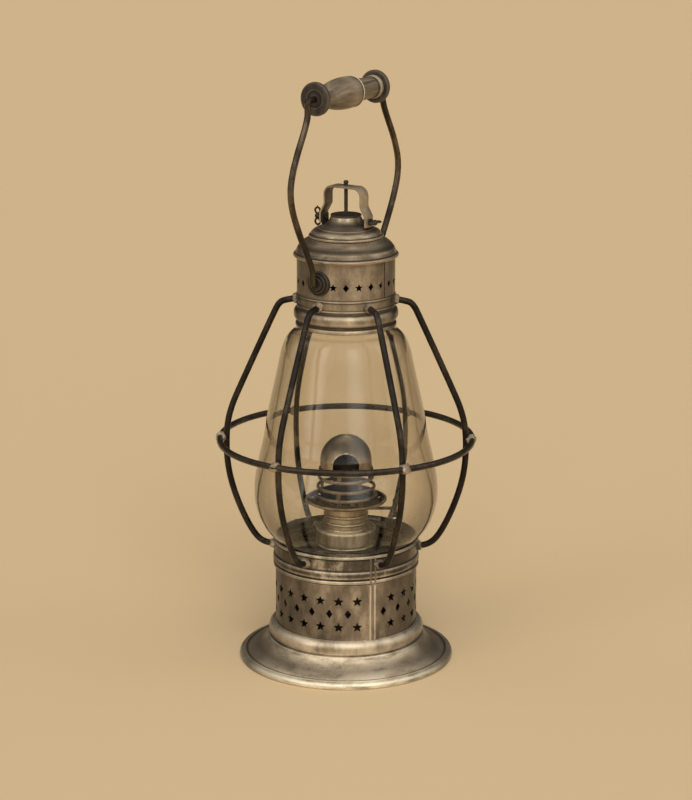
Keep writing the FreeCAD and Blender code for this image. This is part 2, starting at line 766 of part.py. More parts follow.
# Packing ring between the globe's neck and the crown
packing = turned("Packing", [
    ("globe_neck_radius", "globe_neck_top - packing_height"),
    ("crown_radius - sheet_wall", "globe_neck_top - packing_height"),
    ("crown_radius - sheet_wall", "globe_neck_top"), ("globe_neck_radius", "globe_neck_top"),
])
finish(packing, "globe_packing")

# Smoke tube inside the crown: a cone from the crown's wall up to a tube that ends under the cap
smoke_tube = turned("SmokeTube", [
    ("crown_radius - sheet_wall", "tube_foot"), ("crown_radius - sheet_wall", "tube_foot + tube_lip"),
    ("tube_radius", "tube_shoulder"), ("tube_radius", "tube_top"),
    ("tube_radius - sheet_wall", "tube_top"), ("tube_radius - sheet_wall", "tube_shoulder - sheet_wall / 2"),
    ("crown_radius - sheet_wall * 2", "tube_foot + tube_lip - sheet_wall / 2"),
    ("crown_radius - sheet_wall * 2", "tube_foot"),
])
finish(smoke_tube, "smoke_tube")

# Cap: a dome with a rolled edge on the crown, and the stepped cowl that stands on it
cap_dome = turned("CapDome", [
    ("crown_radius - sheet_wall", "crown_top"),
    ("cap_radius - cap_roll", "crown_top", "cap_roll * 2 * roll_share", 1),
    ("cap_radius - cap_roll", "crown_top + cap_roll * 2", "dome_sweep", 1),
    ("dome_top_radius + sheet_wall", "crown_top + dome_height - sheet_wall"),
    ("dome_top_radius", "crown_top + dome_height"),
    ("dome_bore", "crown_top + dome_height"),
    ("dome_bore", "crown_top + dome_height - sheet_wall"),
    ("dome_top_radius - sheet_wall / 2", "crown_top + dome_height - sheet_wall"),
    ("dome_top_radius + sheet_wall / 4", "crown_top + dome_height - sheet_wall * 2",
     "dome_sweep - sheet_wall", -1),
    ("cap_radius - cap_roll * 2", "crown_top + cap_roll * 2 - sheet_wall"),
    ("cap_radius - cap_roll * 2", "crown_top + sheet_wall"),
    ("crown_radius - sheet_wall", "crown_top + sheet_wall"),
])
finish(cap_dome, "cap_dome")
cap_cowl = turned("CapCowl", [
    ("dome_bore", "cowl_foot"),
    ("cowl_bead - cowl_bead_height / 2", "cowl_foot", "cowl_bead_height * roll_share", 1),
    ("cowl_bead - cowl_bead_height / 2", "cowl_foot + cowl_bead_height", "cowl_sweep", 1),
    ("cowl_shoulder", "cowl_foot + cowl_shoulder_height"),
    ("cowl_shoulder - cowl_step", "cowl_step_level"),
    ("cowl_neck_foot", "cowl_step_level", "cowl_sweep", -1),
    ("cowl_mouth + sheet_wall", "lid_foot"),
    ("cowl_mouth", "lid_foot", "cowl_sweep + sheet_wall", 1),
    ("cowl_neck_foot - sheet_wall", "cowl_step_level - sheet_wall"),
    ("cowl_shoulder - cowl_step - sheet_wall / 2", "cowl_step_level - sheet_wall"),
    ("cowl_shoulder - sheet_wall", "cowl_foot + cowl_shoulder_height - sheet_wall / 2"),
    ("dome_bore", "cowl_foot + cowl_bead_height - sheet_wall / 2"),
])
finish(cap_cowl, "cap_cowl")

# Smoke lid, resting on the cowl's mouth, with its rod and knob, all lifting together
vent_lid = turned("VentLid", [
    ("rod_radius", "lid_foot"), ("lid_radius - lid_lip", "lid_foot"),
    ("lid_radius", "lid_foot + lid_lip / 2"), ("lid_radius", "lid_foot + lid_thickness"),
    ("rod_radius", "lid_foot + lid_thickness + sheet_wall / 2"),
])
finish(vent_lid, "vent_lid")
vent_rod = turned("VentRod", [
    ("0", "lid_foot - rod_tail"), ("rod_radius", "lid_foot - rod_tail"),
    ("rod_radius", "rod_top - knob_height"), ("knob_radius", "rod_top - knob_height + sheet_wall / 2"),
    ("knob_radius", "rod_top - sheet_wall"), ("knob_radius / 2", "rod_top"), ("0", "rod_top"),
])
finish(vent_rod, "vent_rod")

# Strap: a bent band over the lid, whose top guides the rod and whose feet are screwed to two lugs
strap_mid = size("strap_top - strap_thickness / 2")
strap_half = size("strap_half - strap_thickness / 2")
foot_half = size("strap_foot_half - strap_thickness / 2")
strap_knee = size("strap_splay + strap_foot_half - strap_half")
strap_leg = [
    Vector(0, foot_half, size("strap_foot")), Vector(0, foot_half, size("strap_foot_top")),
    Vector(0, strap_half, strap_knee), Vector(0, strap_half, strap_mid),
]
strap_points = [Vector(0, -p.y, p.z) for p in strap_leg] + strap_leg[::-1]
strap_bends = dict.fromkeys((1, 2, 5, 6), size("strap_bend")) | dict.fromkeys((3, 4), size("strap_corner"))
strap_path = rounded_path(strap_points, bends=strap_bends)
strap = strip_along(strap_path, size("strap_thickness"), size("strap_width"), Vector(1, 0, 0))
rod_hole = Part.makeCylinder(size("rod_radius + running_gap"), size("strap_top"))
screw_bore = Part.makeCylinder(size("screw_radius + running_gap"), size("base_radius"),
                               Vector(0, -size("base_radius") / 2, size("screw_level")), Vector(0, 1, 0))
made("vent_strap", solid_of(strap.cut(rod_hole).cut(screw_bore)))
doc.recompute()
lug_out = size("strap_foot_half - strap_thickness")
lugs = []
for side in (-1, 1):
    lug = Part.makeBox(size("lug_width"), size("lug_thickness"), size("lug_height"),
                       Vector(-size("lug_width") / 2, -lug_out, size("cowl_foot + cowl_shoulder_height")))
    lug = lug.cut(cap_cowl.Shape).cut(screw_bore)
    lug = max(lug.Solids, key=lambda solid: solid.Volume)
    lugs.append(turned_shape(lug, 90 + 90 * side))
made("strap_lugs", Part.makeCompound(lugs))


# Wing screws through the strap's feet: the left one has its two looped wings upright, the right one flat
def wing_screw(label, turn, flat):
    """A screw along Y with a hub and two looped wings, each with a small point."""
    face = size("strap_foot_half + loose_gap")
    tip = size("strap_foot_half - strap_thickness - lug_thickness - screw_tip")
    along, up = Vector(0, 1, 0), Vector(0, 0, 1)
    centre = Vector(0, face + size("shoulder_length + wing_radius + wing_wire"), 0)
    pieces = [
        Part.makeCylinder(size("screw_radius"), centre.y - tip, Vector(0, tip, 0), along),
        Part.makeCylinder(size("shoulder_radius"), size("shoulder_length"), Vector(0, face, 0), along),
        Part.makeSphere(size("shoulder_radius - wing_wire / 2"), centre),
    ]
    for way in (1, -1):
        middle = centre + up * size("wing_reach") * way
        pieces.append(Part.makeTorus(size("wing_radius"), size("wing_wire"), middle, Vector(1, 0, 0)))
        pieces.append(Part.makeCone(size("wing_wire"), size("wing_wire") / 3, size("wing_wire + wing_tip"),
                                    middle + up * size("wing_radius") * way, up * way))
    screw = pieces[0].multiFuse(pieces[1:]).removeSplitter()
    screw.rotate(Vector(0, 0, 0), along, 90 if flat else 0)
    screw.translate(up * size("screw_level"))
    made(label, solid_of(turned_shape(screw, turn)))


wing_screw("strap_screw_left", 0, False)
wing_screw("strap_screw_right", 180, True)

# Bosses for the bail, riveted to the crown on either side, each bored for the bail's end
for label, turn in (("bail_ear_left", "180"), ("bail_ear_right", "0")):
    boss = turned("Boss" + label, [
        ("wire_radius + running_gap", "crown_radius - sheet_wall * 2 - ear_plate"),
        ("ear_radius", "crown_radius - sheet_wall * 2 - ear_plate"),
        ("ear_radius", "ear_face - ear_rise * 2"),
        ("ear_step", "ear_face - ear_rise * 2 + ear_edge"),
        ("ear_step", "ear_face - ear_rise"),
        ("ear_ring", "ear_face - ear_rise + ear_edge"),
        ("ear_ring", "ear_face"),
        ("wire_radius + running_gap", "ear_face"),
    ])
    boss.Placement = FreeCAD.Placement(Vector(0, 0, size("bail_level")),
                                       FreeCAD.Rotation(Vector(0, 1, 0), 90 if turn == "0" else -90))
    boss.setExpression("Placement.Base.z", bound("bail_level"))
    core = doc.addObject("Part::Cylinder", "Core" + label)
    bind(core, Radius="crown_radius", Height="crown_top")
    cut_from(label, boss, tool=core)

# Bail: one bowed wire from boss to boss, through the grip. Places are shares of its bow and its height.
bail_outline_shares = [(0.605, 0.093), (0.886, 0.345), (1, 0.517), (0.925, 0.670), (0.678, 0.893)]
bail_right = [Vector(size("bail_tip"), 0, 0), Vector(size("ear_face + bail_bend + loose_gap"), 0, 0)]
bail_right += [Vector(size("bail_bow") * out, 0, size("grip_rise") * up) for out, up in bail_outline_shares]
bail_right.append(Vector(bail_right[-1].x, 0, size("grip_rise")))
bail_points = [Vector(-p.x, 0, p.z) for p in bail_right] + bail_right[::-1]
bail_bends = dict.fromkeys((1, len(bail_points) - 2), size("bail_bend"))
bail_bends |= dict.fromkeys((len(bail_right) - 1, len(bail_right)), size("bail_shoulder"))
bail = wire_along(rounded_path(bail_points, bends=bail_bends), size("wire_radius"))
bail.translate(Vector(0, 0, size("bail_level")))
made("bail", bail)

# Grip: turned wood between two end discs, all bored to run on the bail's wire
wood_half = "(grip_length / 2 - grip_disc_thickness)"
grip = turned("Grip", [
    ("wire_radius + running_gap", f"-{wood_half}"),
    ("grip_bead_radius", f"-{wood_half}"),
    ("grip_bead_radius", f"-{wood_half} + grip_bead_width"),
    ("grip_neck_radius", f"-{wood_half} + grip_neck_place", "grip_barrel", -1),
    ("grip_step_radius - grip_step", "-grip_barrel / 2 - grip_step"),
    ("grip_step_radius", "-grip_barrel / 2", "grip_belly", 1),
    ("grip_radius", "0", "grip_belly", 1),
    ("grip_step_radius", "grip_barrel / 2"),
    ("grip_step_radius - grip_step", "grip_barrel / 2 + grip_step", "grip_barrel", -1),
    ("grip_neck_radius", f"{wood_half} - grip_neck_place"),
    ("grip_bead_radius", f"{wood_half} - grip_bead_width"),
    ("grip_bead_radius", wood_half),
    ("wire_radius + running_gap", wood_half),
])
finish(grip, "grip")
for label, way in (("grip_disc_left", "-1"), ("grip_disc_right", "1")):
    inner, outer, edge = f"{wood_half} * {way}", f"grip_length / 2 * {way}", f"grip_step * {way}"
    disc = turned("Turned_" + label, [
        ("wire_radius + running_gap", inner), ("grip_disc_radius - grip_step", inner),
        ("grip_disc_radius", f"{inner} + {edge}"), ("grip_disc_radius", f"{outer} - {edge}"),
        ("grip_disc_radius - grip_step", outer), ("wire_radius + running_gap", outer),
    ])
    finish(disc, label)
for turned_piece in parts[-3:]:
    turned_piece.Placement = FreeCAD.Placement(Vector(0, 0, size("grip_level")),
                                               FreeCAD.Rotation(Vector(0, 1, 0), 90))
    turned_piece.setExpression("Placement.Base.z", bound("grip_level"))

# Font: a drawn can, its domed top lapped over it, and the screw collar for the burner
font_body = turned("FontBody", [
    ("0", "font_foot"), ("font_radius", "font_foot"),
    ("font_radius", "font_foot + sheet_wall", "font_bead_height * bead_share", 1),
    ("font_radius", "font_foot + sheet_wall + font_bead_height"),
    ("font_radius", "font_shoulder - sheet_wall"), ("font_radius - sheet_wall", "font_shoulder - sheet_wall"),
    ("font_radius - sheet_wall", "font_foot + sheet_wall"), ("0", "font_foot + sheet_wall"),
])
finish(font_body, "font_body")
font_top = turned("FontTop", [
    ("font_radius", "font_shoulder - font_lap"), ("font_radius + sheet_wall", "font_shoulder - font_lap"),
    ("font_radius + sheet_wall", "font_shoulder", "font_sweep", 1),
    ("font_flat", "font_top"), ("screw_collar_bore", "font_top"),
    ("screw_collar_bore", "font_top - sheet_wall"), ("font_flat", "font_top - sheet_wall", "font_sweep", -1),
    ("font_radius", "font_shoulder - sheet_wall / 2"),
])
finish(font_top, "font_top")
font_collar = turned("FontCollar", [
    ("screw_collar_bore", "font_top"), ("screw_collar_flange", "font_top"),
    ("screw_collar_flange", "font_top + sheet_wall"), ("screw_collar_radius", "font_top + sheet_wall"),
    ("screw_collar_radius", "font_top + screw_collar_height"),
    ("screw_collar_bore", "font_top + screw_collar_height"),
])
finish(font_collar, "font_collar")

# Two spring catches on the font's sides. Each place is a share of the way from the font's wall out to the
# bow of the spring, and of the height from its foot to its top; the last is the tab to pinch it by.
catch_outline_shares = [(0, 1), (0, 0.8), (1, 0.45), (1, 0.2), (0.8, 0), (-0.4, -0.015)]
catch_run = []
for out, up in catch_outline_shares:
    reach = size(f"font_radius + sheet_wall / 2 + (catch_bow - font_radius - sheet_wall) * {out}")
    catch_run.append(Vector(reach, 0, size(f"catch_foot + (catch_top - catch_foot) * {up}")))
spring = strip_along(rounded_path(catch_run), size("sheet_wall"), size("catch_width"), Vector(0, 1, 0))
spring = solid_of(spring.cut(Part.makeCylinder(size("font_radius"), size("font_top"))))
made("font_catches", Part.makeCompound([turned_shape(spring, turn) for turn in (90, 270)]))

# Burner cup: screwed over the collar, its top plate slotted for the wick tube
cup = turned("BurnerCup", [
    ("0", "cup_top - sheet_wall"), ("screw_collar_radius + running_gap", "cup_top - sheet_wall"),
    ("screw_collar_radius + running_gap", "font_top + sheet_wall + loose_gap"),
    ("screw_collar_radius + running_gap + sheet_wall", "font_top + sheet_wall + loose_gap"),
    ("screw_collar_radius + running_gap + sheet_wall", "cup_top - sheet_wall"),
    ("cup_radius - sheet_wall", "cup_top - sheet_wall"), ("cup_radius - sheet_wall", "cup_foot"),
    ("cup_radius + cup_lip", "cup_foot"), ("cup_radius + cup_lip", "cup_foot + sheet_wall"),
    ("cup_radius", "cup_foot + sheet_wall * 2"), ("cup_radius", "cup_top"), ("0", "cup_top"),
])
doc.recompute()
bored(cup, "TubeSlot", "XY_Plane", [
    ("-wick_tube_width / 2", "-wick_tube_depth / 2"), ("wick_tube_width / 2", "-wick_tube_depth / 2"),
    ("wick_tube_width / 2", "wick_tube_depth / 2"), ("-wick_tube_width / 2", "wick_tube_depth / 2"),
])
finish(spun(cup, "burner_angle"), "burner_cup")

# Burner neck: a tube with two swaged lines, bored across for the wick shaft
neck_corners = [("neck_radius - sheet_wall", "cup_top"), ("neck_radius", "cup_top")]
for line in ("neck_line_low", "neck_line_high"):
    neck_corners += [("neck_radius", line), ("neck_radius + neck_line", f"{line} + neck_line_height / 2"),
                     ("neck_radius", f"{line} + neck_line_height")]
neck_corners += [("neck_radius", "dish_floor"), ("neck_radius - sheet_wall", "dish_floor")]
neck = turned("BurnerNeck", neck_corners)
doc.recompute()

shaft_hole = doc.addObject("Part::Cylinder", "ShaftHole")
bind(shaft_hole, Radius="shaft_radius + running_gap", Height="base_radius * 2")
shaft_hole.Placement = FreeCAD.Placement(Vector(0, 0, 0), FreeCAD.Rotation(Vector(0, 1, 0), 90))
for axis, formula in (("x", "-base_radius"), ("y", "-shaft_back"), ("z", "shaft_level")):
    shaft_hole.setExpression(f"Placement.Base.{axis}", bound(formula))
spun(cut_from("burner_neck", neck, tool=shaft_hole), "burner_angle")

# Dish: a shallow bowl on the neck with a rolled edge and a ring of air holes
dish = turned("BurnerDish", [
    ("dish_bore", "dish_floor"), ("dish_flat", "dish_floor"),
    ("dish_radius - dish_roll", "dish_edge - sheet_wall", "dish_roll * 2 * roll_share", 1),
    ("dish_radius - dish_roll", "dish_edge + dish_roll"),
    ("dish_flat", "dish_floor + sheet_wall"), ("dish_bore", "dish_floor + sheet_wall"),
])
dish_holes = []
for i in range(int(size("dish_hole_count"))):
    hole = Part.makeCylinder(size("dish_hole"), size("cut_overrun") * 2,
                             Vector(size("dish_hole_ring"), 0, size("dish_floor - cut_overrun / 2")))
    dish_holes.append(turned_shape(hole, 360 * i / size("dish_hole_count")))
spun(cut_from("burner_dish", dish, Part.makeCompound(dish_holes)), "burner_angle")

# Basket: a tapering tube with four rolled rings, and three rows of windows that leave staggered posts
basket_rings = ("basket_ring_one", "basket_ring_two", "basket_ring_three", "basket_ring_four")


def basket_at(level):
    """The basket's outer radius at a level, on its straight taper."""
    share = f"(({level}) - dish_floor - sheet_wall) / (basket_top - dish_floor - sheet_wall)"
    return f"(basket_foot - (basket_foot - basket_head) * {share})"


basket_outline = [(f"{basket_at('dish_floor + sheet_wall')} - sheet_wall", "dish_floor + sheet_wall"),
                  (basket_at("dish_floor + sheet_wall"), "dish_floor + sheet_wall")]
for ring in basket_rings:
    low, high = f"{ring} - basket_ring", f"{ring} + basket_ring"
    basket_outline += [(basket_at(low), low, "basket_ring * 2 * roll_share", 1), (basket_at(high), high)]
basket_outline += [(basket_at("basket_top"), "basket_top"),
                   (f"{basket_at('basket_top')} - sheet_wall", "basket_top")]
basket = turned("BasketTube", basket_outline)
windows = []
basket_levels = ("dish_floor + sheet_wall - basket_ring / 2", *basket_rings)
post_pitch = 360 / size("basket_post_count")
for number, (low, high) in enumerate(zip(basket_levels, basket_levels[1:])):
    foot, head = size(f"{low} + basket_ring"), size(f"{high} - basket_ring")
    around = size(basket_at(f"(({low}) + ({high})) / 2"))
    half = math.radians(post_pitch) / 2 - size("basket_post") / 2 / around
    for i in range(int(size("basket_post_count"))):
        window = Part.makeBox(size("basket_foot"), around * math.sin(half) * 2, head - foot,
                              Vector(around * math.cos(half) / 2, -around * math.sin(half), foot))
        windows.append(turned_shape(window, post_pitch * (i + 0.5 * (number % 2))))
spun(cut_from("burner_basket", basket, Part.makeCompound(windows)), "burner_angle - 90 + basket_angle")

# Dome over the flame, with an arched window in front, in line with the wick's flat side
dome = turned("BurnerDome", [
    ("dome_radius - sheet_wall", "basket_top"), ("dome_radius", "basket_top"),
    ("dome_radius", "dome_level", "dome_radius", 1), ("0", "dome_level + dome_radius"),
    ("0", "dome_level + dome_radius - sheet_wall"),
    ("sheet_wall", "dome_level + dome_radius - sheet_wall", "dome_radius", -1),
    ("dome_radius - sheet_wall", "dome_level"),
])
arch_half = size("window_width") / 2
arch = [Part.makeLine(Vector(arch_half, 0, size("basket_top") + size("sheet_wall") * 2),
                      Vector(arch_half, 0, size("window_top") - arch_half)),
        Part.makeCircle(arch_half, Vector(0, 0, size("window_top") - arch_half), Vector(0, -1, 0), 0, 180),
        Part.makeLine(Vector(-arch_half, 0, size("window_top") - arch_half),
                      Vector(-arch_half, 0, size("basket_top") + size("sheet_wall") * 2)),
        Part.makeLine(Vector(-arch_half, 0, size("basket_top") + size("sheet_wall") * 2),
                      Vector(arch_half, 0, size("basket_top") + size("sheet_wall") * 2))]
arch_punch = Part.Face(Part.Wire(Part.__sortEdges__(arch))).extrude(Vector(0, -size("base_radius"), 0))
spun(cut_from("burner_dome", dome, arch_punch), "burner_angle")


def upright_box(name, wide, deep, foot, head, middle_x="0", middle_y="0"):
    """A box on the burner's own axes, tied to the sheet."""
    box = doc.addObject("Part::Box", name)
    bind(box, Length=wide, Width=deep, Height=f"({head}) - ({foot})")
    corner = {"x": f"({middle_x}) - ({wide}) / 2", "y": f"({middle_y}) - ({deep}) / 2", "z": foot}
    for axis, formula in corner.items():
        box.setExpression(f"Placement.Base.{axis}", bound(formula))
    return box


# Wick tube: a flat tube from the font to the dome, slotted on one side for the two spur wheels
tube_outer = upright_box("WickTubeOuter", "wick_tube_width", "wick_tube_depth",
                         "wick_tube_foot", "wick_tube_top")
tube_hollow = [upright_box("WickTubeInner", "wick_slot_width", "wick_slot_depth",
                           "wick_tube_foot - cut_overrun", "wick_tube_top + cut_overrun")]
for name, side in (("SpurSlotLeft", "-spur_offset"), ("SpurSlotRight", "spur_offset")):
    tube_hollow.append(upright_box(name, "spur_width + loose_gap * 2", "wick_wall * 3",
                                   "shaft_level - spur_radius", "shaft_level + spur_radius", side,
                                   "-wick_tube_depth / 2"))
hollows = doc.addObject("Part::MultiFuse", "WickTubeHollows")
hollows.Shapes = tube_hollow
spun(cut_from("wick_tube", tube_outer, tool=hollows), "burner_angle")
wick_blank = upright_box("WickBlank", "wick_width", "wick_thickness", "wick_foot", "wick_head")
wick = doc.addObject("Part::Chamfer", "Wick")
wick.Base = wick_blank
doc.recompute()
wick.Edges = [(i + 1, size("wick_thickness") / 4, size("wick_thickness") / 4)
              for i, edge in enumerate(wick_blank.Shape.Edges)
              if abs(edge.CenterOfMass.z - size("wick_head")) < size("running_gap")]
doc.recompute()
spun(finish(wick, "wick"), "burner_angle")

# Wick raiser: shaft, two spur wheels beside the wick's front face, and the thumbwheel outside
shaft_turn = FreeCAD.Placement(Vector(0, 0, 0), FreeCAD.Rotation(Vector(0, 0, 1), size("burner_angle")))
shaft_place = shaft_turn.multiply(FreeCAD.Placement(Vector(0, -size("shaft_back"), size("shaft_level")),
                                                    FreeCAD.Rotation(Vector(0, 1, 0), 90)))
shaft = doc.addObject("Part::Cylinder", "WickShaft")
bind(shaft, Radius="shaft_radius", Height="shaft_tail + thumbwheel_reach")
shaft_end = FreeCAD.Placement(Vector(0, 0, -size("shaft_tail")), FreeCAD.Rotation())
shaft.Placement = shaft_place.multiply(shaft_end)
finish(shaft, "wick_shaft")


def toothed(label, reach, root, teeth, bore, width, places):
    """Wheels on the shaft, cut with pointed teeth, one for each place along it."""
    corners = []
    for i in range(int(teeth) * 2):
        turn = math.pi * i / teeth
        corners.append(Vector(math.cos(turn), math.sin(turn), 0) * (reach if i % 2 == 0 else root))
    blank = Part.Face(Part.makePolygon(corners + corners[:1])).extrude(Vector(0, 0, width))
    wheels = []
    for place in places:
        wheel = blank.cut(Part.makeCylinder(bore, width))
        wheel.Placement = shaft_place.multiply(FreeCAD.Placement(Vector(0, 0, place), FreeCAD.Rotation()))
        wheels.append(solid_of(wheel))
    made(label, wheels[0] if len(wheels) == 1 else Part.makeCompound(wheels))


toothed("wick_spurs", size("spur_radius"), size("spur_root"), size("spur_teeth"), size("shaft_radius"),
        size("spur_width"), [size(f"{side} spur_offset - spur_width / 2") for side in ("-", "")])
toothed("thumbwheel", size("thumbwheel_radius"), size("thumbwheel_radius - thumbwheel_notch"),
        size("thumbwheel_notch_count"), size("shaft_radius"), size("thumbwheel_thickness"),
        [size("thumbwheel_reach - thumbwheel_thickness")])

# Every object is up to date and every sub-part is one valid shape before anything is written
doc.recompute()
for thing in doc.Objects:
    if {"Invalid", "Error"} & set(thing.State):
        raise RuntimeError(f"{thing.Label} failed: {thing.State}")
os.makedirs("parts", exist_ok=True)
for thing in parts:
    if thing.Shape.isNull() or not thing.Shape.isValid() or thing.Shape.Volume <= 0:
        raise RuntimeError(f"{thing.Label} has no valid shape")
for thing in parts:
    thing.Shape.exportStep(f"parts/{thing.Label}.step")
print(len(parts), "sub-parts written")
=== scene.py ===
import bmesh
import bpy
from math import atan2, cos, pi, radians, sin
from mathutils import Matrix, Vector, noise


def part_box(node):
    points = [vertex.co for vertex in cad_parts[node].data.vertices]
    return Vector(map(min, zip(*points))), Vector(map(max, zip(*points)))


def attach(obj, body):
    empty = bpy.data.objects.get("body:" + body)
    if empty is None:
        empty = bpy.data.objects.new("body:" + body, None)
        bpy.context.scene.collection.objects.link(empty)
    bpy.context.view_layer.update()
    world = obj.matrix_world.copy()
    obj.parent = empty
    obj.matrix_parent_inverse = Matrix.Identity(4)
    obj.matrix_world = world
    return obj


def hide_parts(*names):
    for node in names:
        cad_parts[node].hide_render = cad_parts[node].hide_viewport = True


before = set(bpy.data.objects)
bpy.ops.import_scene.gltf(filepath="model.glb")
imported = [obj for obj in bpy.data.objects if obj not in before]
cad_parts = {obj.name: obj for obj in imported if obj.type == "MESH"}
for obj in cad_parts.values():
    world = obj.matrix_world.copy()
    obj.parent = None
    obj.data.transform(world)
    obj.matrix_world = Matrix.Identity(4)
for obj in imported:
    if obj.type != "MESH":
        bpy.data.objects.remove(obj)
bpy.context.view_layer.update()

# Skirt: the flared foot that the lantern stands on. It is one sheet of tinplate, spun on a former, with its
# edge rolled under over a wire; the roll's creases are painted dark as shade and grime, the sheet dull and mottled.
FRONT = 213
SHEET = 0.8
SMOOTH_TURN = 160
SHARP_TURN = pi / 3
EDGE_REACH = 1.2


def round_box(node):
    """Outer radius, foot and top of a round node, in millimetres."""
    low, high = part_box(node)
    return high.x * 1000, low.z * 1000, high.z * 1000


def outline(corners, closed=True, segments=6, longest=1.6):
    """A line in the XZ plane, in millimetres. A corner is (out, up), or (out, up, reach of its rounding).
    Long runs are split, and each point is marked with how proud it stands: above 0 round an outer corner,
    which is painted bright as wear and highlight, and below 0 in an inner one, painted dark as shade and grime."""
    mesh = bmesh.new()
    points = [Vector((corner[0], 0, corner[1])) / 1000 for corner in corners]
    eases = [corner[2] if len(corner) > 2 else 0 for corner in corners]
    verts = [mesh.verts.new(point) for point in points]
    for a, b in zip(verts, verts[1:] + (verts[:1] if closed else [])):
        mesh.edges.new((a, b))
    for vert, ease in zip(verts, eases):
        if ease:
            bmesh.ops.bevel(mesh, geom=[vert], offset=ease / 1000, offset_type='OFFSET',
                            affect='VERTICES', segments=segments, profile=0.5, material=-1)
    for edge in mesh.edges[:]:
        cuts = int(edge.calc_length() * 1000 / longest)
        if cuts:
            bmesh.ops.subdivide_edges(mesh, edges=[edge], cuts=cuts)
    edge_bend = mesh.verts.layers.float.new("edge_bend")
    if not closed:
        return mesh
    area = sum(a.x * b.z - b.x * a.z for a, b in zip(points, points[1:] + points[:1]))
    outwards = 1 if area > 0 else -1
    marks = []
    for number, (point, ease) in enumerate(zip(points, eases)):
        before, after = point - points[number - 1], points[(number + 1) % len(points)] - point
        bend = atan2(before.x * after.z - before.z * after.x, before.dot(after)) * outwards
        marks.append((point, max(-1, min(1, bend / SHARP_TURN)), (ease + EDGE_REACH) / 1000))
    for vert in mesh.verts:
        nearness, proud = max((1 - (vert.co - point).length / reach, proud) for point, proud, reach in marks)
        vert[edge_bend] = proud * max(0, nearness)
    return mesh


def spun(mesh, steps=SMOOTH_TURN, axis=(0, 0, 1)):
    """Turns a line once round an axis into a closed skin."""
    bmesh.ops.spin(mesh, geom=mesh.verts[:] + mesh.edges[:], cent=(0, 0, 0), axis=axis,
                   angle=2 * pi, steps=steps, use_merge=True)
    bmesh.ops.remove_doubles(mesh, verts=mesh.verts[:], dist=1e-6)
    bmesh.ops.recalc_face_normals(mesh, faces=mesh.faces[:])
    return mesh


def piece(name, mesh, material, body, slot, *nodes, sharp=35):
    """A finished mesh as an object that rides on a body and stands for its nodes."""
    data = bpy.data.meshes.new(name)
    mesh.to_mesh(data)
    mesh.free()
    data.shade_smooth()
    data.set_sharp_from_angle(angle=radians(sharp))
    data.materials.append(material)
    made = bpy.data.objects.new(name, data)
    bpy.context.scene.collection.objects.link(made)
    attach(made, body)
    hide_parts(*nodes)
    return made


def colour(red, green, blue):
    """A colour given as a painter mixes it, 0 to 255 for the eye, as the shader wants it."""
    return (*[(c / 255 / 12.92 if c < 11 else ((c / 255 + 0.055) / 1.055) ** 2.4) for c in (red, green, blue)], 1)


def toned(tone, share):
    """A colour made darker or paler."""
    return (*[min(1, share * c) for c in tone[:3]], 1)


def new_finish(name):
    """A new material, its tree of nodes and its shader."""
    material = bpy.data.materials.new(name)
    material.use_nodes = True
    return material, material.node_tree, material.node_tree.nodes["Principled BSDF"]


def feed(tree, socket, value):
    """Sets an input, or joins another node's output to it."""
    if isinstance(value, bpy.types.NodeSocket):
        tree.links.new(value, socket)
    else:
        socket.default_value = value


def join(tree, node, **inputs):
    """Sets or joins a shader node's inputs by name; a name in capitals is a setting of the node."""
    for name, value in inputs.items():
        if name.isupper():
            setattr(node, name.lower(), value)
        else:
            feed(tree, node.inputs[name.replace("_", " ")], value)
    return node


def add(tree, kind, **inputs):
    """A new shader node with its inputs set or joined."""
    return join(tree, tree.nodes.new("ShaderNode" + kind), **inputs)


def maths(tree, kind, *values):
    """A sum done in the material, on values or sockets."""
    node = add(tree, "Math", OPERATION=kind)
    for socket, value in zip(node.inputs, values):
        feed(tree, socket, value)
    return node.outputs["Value"]


def directions(tree, kind, *values):
    """A sum done in the material, on places or directions."""
    node = add(tree, "VectorMath", OPERATION=kind)
    for socket, value in zip(node.inputs, values):
        feed(tree, socket, value)
    return node.outputs["Value" if kind == 'DOT_PRODUCT' else "Vector"]


def between(tree, value, low, high, start, end):
    """A value that goes from start to end as another goes from low to high, and stays there beyond."""
    spread = add(tree, "MapRange", Value=value, From_Min=low, From_Max=high, To_Min=start, To_Max=end)
    return spread.outputs["Result"]


def ramp(tree, factor, *stops):
    """A colour ramp with stops of (place, colour)."""
    node = add(tree, "ValToRGB", Fac=factor)
    band = node.color_ramp
    while len(band.elements) < len(stops):
        band.elements.new(0.5)
    for element, (place, tone) in zip(band.elements, stops):
        element.position = place
        element.color = tone
    return node.outputs["Color"]


def over(tree, share, under, upper):
    """One colour laid over another, by a share from 0 to 1."""
    return add(tree, "MixRGB", Fac=share, Color1=under, Color2=upper).outputs["Color"]


def cloudy(tree, place, fineness, detail, roughness=0.5, distortion=0):
    """Blots and clouds; a larger fineness makes them smaller."""
    return add(tree, "TexNoise", Vector=place, Scale=fineness, Detail=detail, Roughness=roughness,
               Distortion=distortion).outputs["Fac"]


def uneven(tree, height, strength, depth):
    """A surface raised and sunk by a pattern, over a depth in millimetres."""
    return add(tree, "Bump", Strength=strength, Distance=depth / 1000, Height=height).outputs["Normal"]


